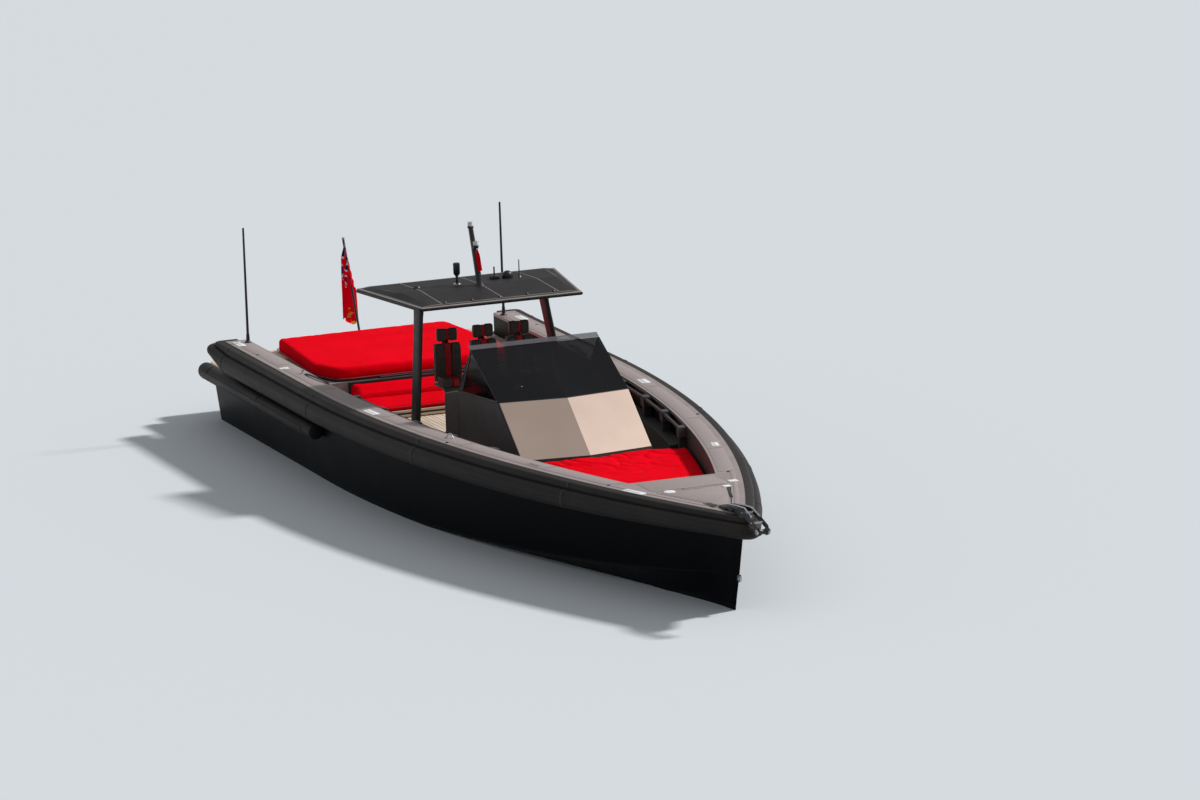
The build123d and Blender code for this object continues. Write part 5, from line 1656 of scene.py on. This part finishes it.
# %% Anchor locker fittings
LATCH = [(0, 0), (0.072, 0), (0.074, 0.006), (0.064, 0.012), (0, 0.013)]
locker = [rounded_box((5.60, 0.36, DECK_Z + 0.003), (5.70, 0.46, DECK_Z + 0.012), 0.004, 2)]
locker.append(turned(LATCH, (5.61, -0.32, DECK_Z + 0.003), steps=40))
piece("locker_latches", together(locker), plate_white, "anchor_hatch")
slot_place = Matrix.Translation((5.99, 0.3135, DECK_Z + 0.007))
slot_turn = Matrix.Rotation(math.atan2(-0.157, 0.50), 4, "Z")
slot = moved(rounded_box((-0.262, -0.017, -0.003), (0.262, 0.017, 0.003), 0.002, 2), slot_place, slot_turn)
piece("locker_slot", slot, gear_black, "anchor_hatch")

# %% Bow arm gear
ROLLER_X = 7.77
ROLLER_Z = 1.15
ACROSS = (0, 1, 0)
rods = []
for y, end in [(-0.045, 7.42), (0.045, 7.48)]:
    rods.append(tube([(6.86, y, 1.305), (7.10, y, 1.335), (7.33, y, 1.352), (end + 0.10, y, 1.290)], 0.012))
for x, z in [(6.98, 1.262), (7.34, 1.300), (7.62, 1.232)]:
    rods.append(round_bar(0.013, 0.18, (x, -0.09, z), ACROSS))
rods.append(round_bar(0.024, 0.17, (ROLLER_X, -0.085, ROLLER_Z), ACROSS))
for side in (-1, 1):
    rods.append(round_bar(0.034, 0.012, (ROLLER_X, side * 0.083 - 0.006, ROLLER_Z), ACROSS))
piece("bow_arm_rods", together(rods), stainless)
block = [rounded_box((6.66, -0.11, DECK_Z - 0.002), (6.86, 0.11, DECK_Z + 0.03), 0.012)]
block.append(rounded_box((6.80, -0.10, DECK_Z + 0.02), (7.05, 0.10, DECK_Z + 0.045), 0.010))
foot_outline = [(6.40, -0.21), (6.40, -0.11), (6.64, -0.08), (6.64, -0.175)]
block.append(plate(foot_outline, DECK_Z + 0.001, DECK_Z + 0.006, 0.001))
piece("bow_arm_foot", together(block), gear_black)
ROLLER_HALF = [(0, 0), (0.036, 0), (0.045, 0.006), (0.045, 0.022), (0.030, 0.045)]
roller_profile = ROLLER_HALF + [(radius, 0.12 - along) for radius, along in reversed(ROLLER_HALF)]
roller_shape = turned(roller_profile, (ROLLER_X, -0.06, ROLLER_Z), ACROSS, 32)
roller = piece("bow_roller_wheel", roller_shape, gear_black)
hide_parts("bow_roller")

# %% [markdown]
# ## Bulwarks
#
# Grab rails run along the inside of the deck edge between short blocks, over pockets in the bulwark.
# Forward of them a plain lining goes on to the bow well's corner; its dark grey is painted shade on a light
# grey wall.

# %% Grab rails, blocks and lining
RAIL_RUNS = [(-1.80, -1.06), (-0.95, -0.02), (0.13, 0.96), (1.10, 1.98)]
RAIL_OUT = 0.375
BLOCK_RUNS = [(-1.92, -1.79), (-1.07, -0.93), (-0.02, 0.14), (0.96, 1.11), (1.97, 2.12)]


def strips(runs, outer, inner, low, high, edge, count, longer=0.0):
    """Plates along both sides between two insets, one for each run."""
    made = []
    for side in (-1, 1):
        for aft, fore in runs:
            outline = strip_outline(aft - longer, fore + longer, outer, inner, side, count)
            made.append(plate(outline, low, high, edge))
    return made


EDGE = GUNWALE_WIDTH
rails = strips(RAIL_RUNS, RAIL_OUT, RAIL_OUT + 0.035, 1.175, 1.205, 0.006, 8)
piece("grab_rails", together(rails), gear_black)
blocks = strips(BLOCK_RUNS, EDGE - 0.03, RAIL_OUT + 0.045, 1.09, 1.222, 0.008, 3)
# The blocks take the same darker grey, with its painted shade.
piece("rail_blocks", together(blocks), shaded_side_paint, smooth=25.0)
# The fins and linings take the dark grey with its painted shade.
fins = strips(RAIL_RUNS, EDGE - 0.01, RAIL_OUT - 0.03, 0.66, 0.80, 0.004, 8, 0.02)
fins += strips(BLOCK_RUNS, EDGE - 0.03, RAIL_OUT + 0.035, 0.66, 1.10, 0.006, 3, -0.03)
piece("bulwark_fins", together(fins), shaded_liner_paint, smooth=25.0)
linings = strips([(2.14, 4.86)], EDGE - 0.02, EDGE + 0.006, 0.88, 1.232, 0.004, 24)
linings += strips([(-3.98, -1.95)], EDGE - 0.02, EDGE + 0.02, 0.66, 1.232, 0.006, 12)
piece("bulwark_lining", together(linings), shaded_liner_paint, smooth=25.0)


# %% Rails on the side decks
HOOP = [
    (-3.44, 1.875, 1.235), (-3.40, 1.872, 1.262), (-3.05, 1.845, 1.266), (-2.68, 1.812, 1.262),
    (-2.64, 1.808, 1.235),
]
KNOB = [
    (0, 0), (0.026, 0), (0.026, 0.01), (0.014, 0.016), (0.014, 0.034), (0.026, 0.042), (0.024, 0.058),
    (0, 0.062),
]
STEEL_HOOP = [(1.24, -1.60, 1.225), (1.28, -1.585, 1.30), (1.36, -1.56, 1.30), (1.40, -1.55, 1.225)]
knobs = [turned(KNOB, (-3.50, side * 1.885, 1.238)) for side in (-1, 1)]
piece("rail_knobs", together(knobs), stainless)
hoops = [tube([(x, side * y, z) for x, y, z in HOOP], 0.012, "NURBS") for side in (-1, 1)]
piece("deck_hoops", together(hoops), gear_black)
piece("deck_steel", tube(STEEL_HOOP, 0.010, "NURBS"), stainless)

# %% [markdown]
# ## Stern
#
# Two whip antennas stand upright at the quarters. The platform is teak.

# %% Antennas, staff and stern gear
ANTENNA_PLACES = [(-5.87, -1.845, DECK_Z), (-5.87, 1.845, DECK_Z)]
ANTENNA_LENGTH = 1.575
WHIP = [
    (0, 0), (0.045, 0), (0.045, 0.012), (0.026, 0.03), (0.022, 0.11), (0.018, 0.13), (0.0165, 0.5),
    (0.0155, 1.0),
    (0.0135, ANTENNA_LENGTH), (0, ANTENNA_LENGTH),
]
whip_shape = together([turned(WHIP, foot, steps=16) for foot in ANTENNA_PLACES])
whip = piece("whip_rods", whip_shape, gear_black)
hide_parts("whip_antennas")
STAFF_FOOT = Vector((-6.54, 0.0, 0.94))
STAFF_HEAD = Vector((-7.129, 0.0, 2.282))
SOCKET = [(0, 0), (0.03, 0), (0.03, 0.01), (0.022, 0.02), (0.021, 0.09), (0, 0.09)]
FINIAL = [(0, 0), (0.016, 0), (0.022, 0.008), (0.022, 0.022), (0.012, 0.032), (0, 0.034)]
staff_way = (STAFF_HEAD - STAFF_FOOT).normalized()
staff_parts = [round_bar(0.016, (STAFF_HEAD - STAFF_FOOT).length, STAFF_FOOT, staff_way, 0.004, 20)]
staff_parts.append(turned(SOCKET, STAFF_FOOT, staff_way))
staff = piece("staff_rod", together(staff_parts), gear_black)
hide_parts("flagstaff")
finial = turned(FINIAL, STAFF_HEAD - staff_way * 0.01, staff_way)
piece("staff_finial", finial, stainless)
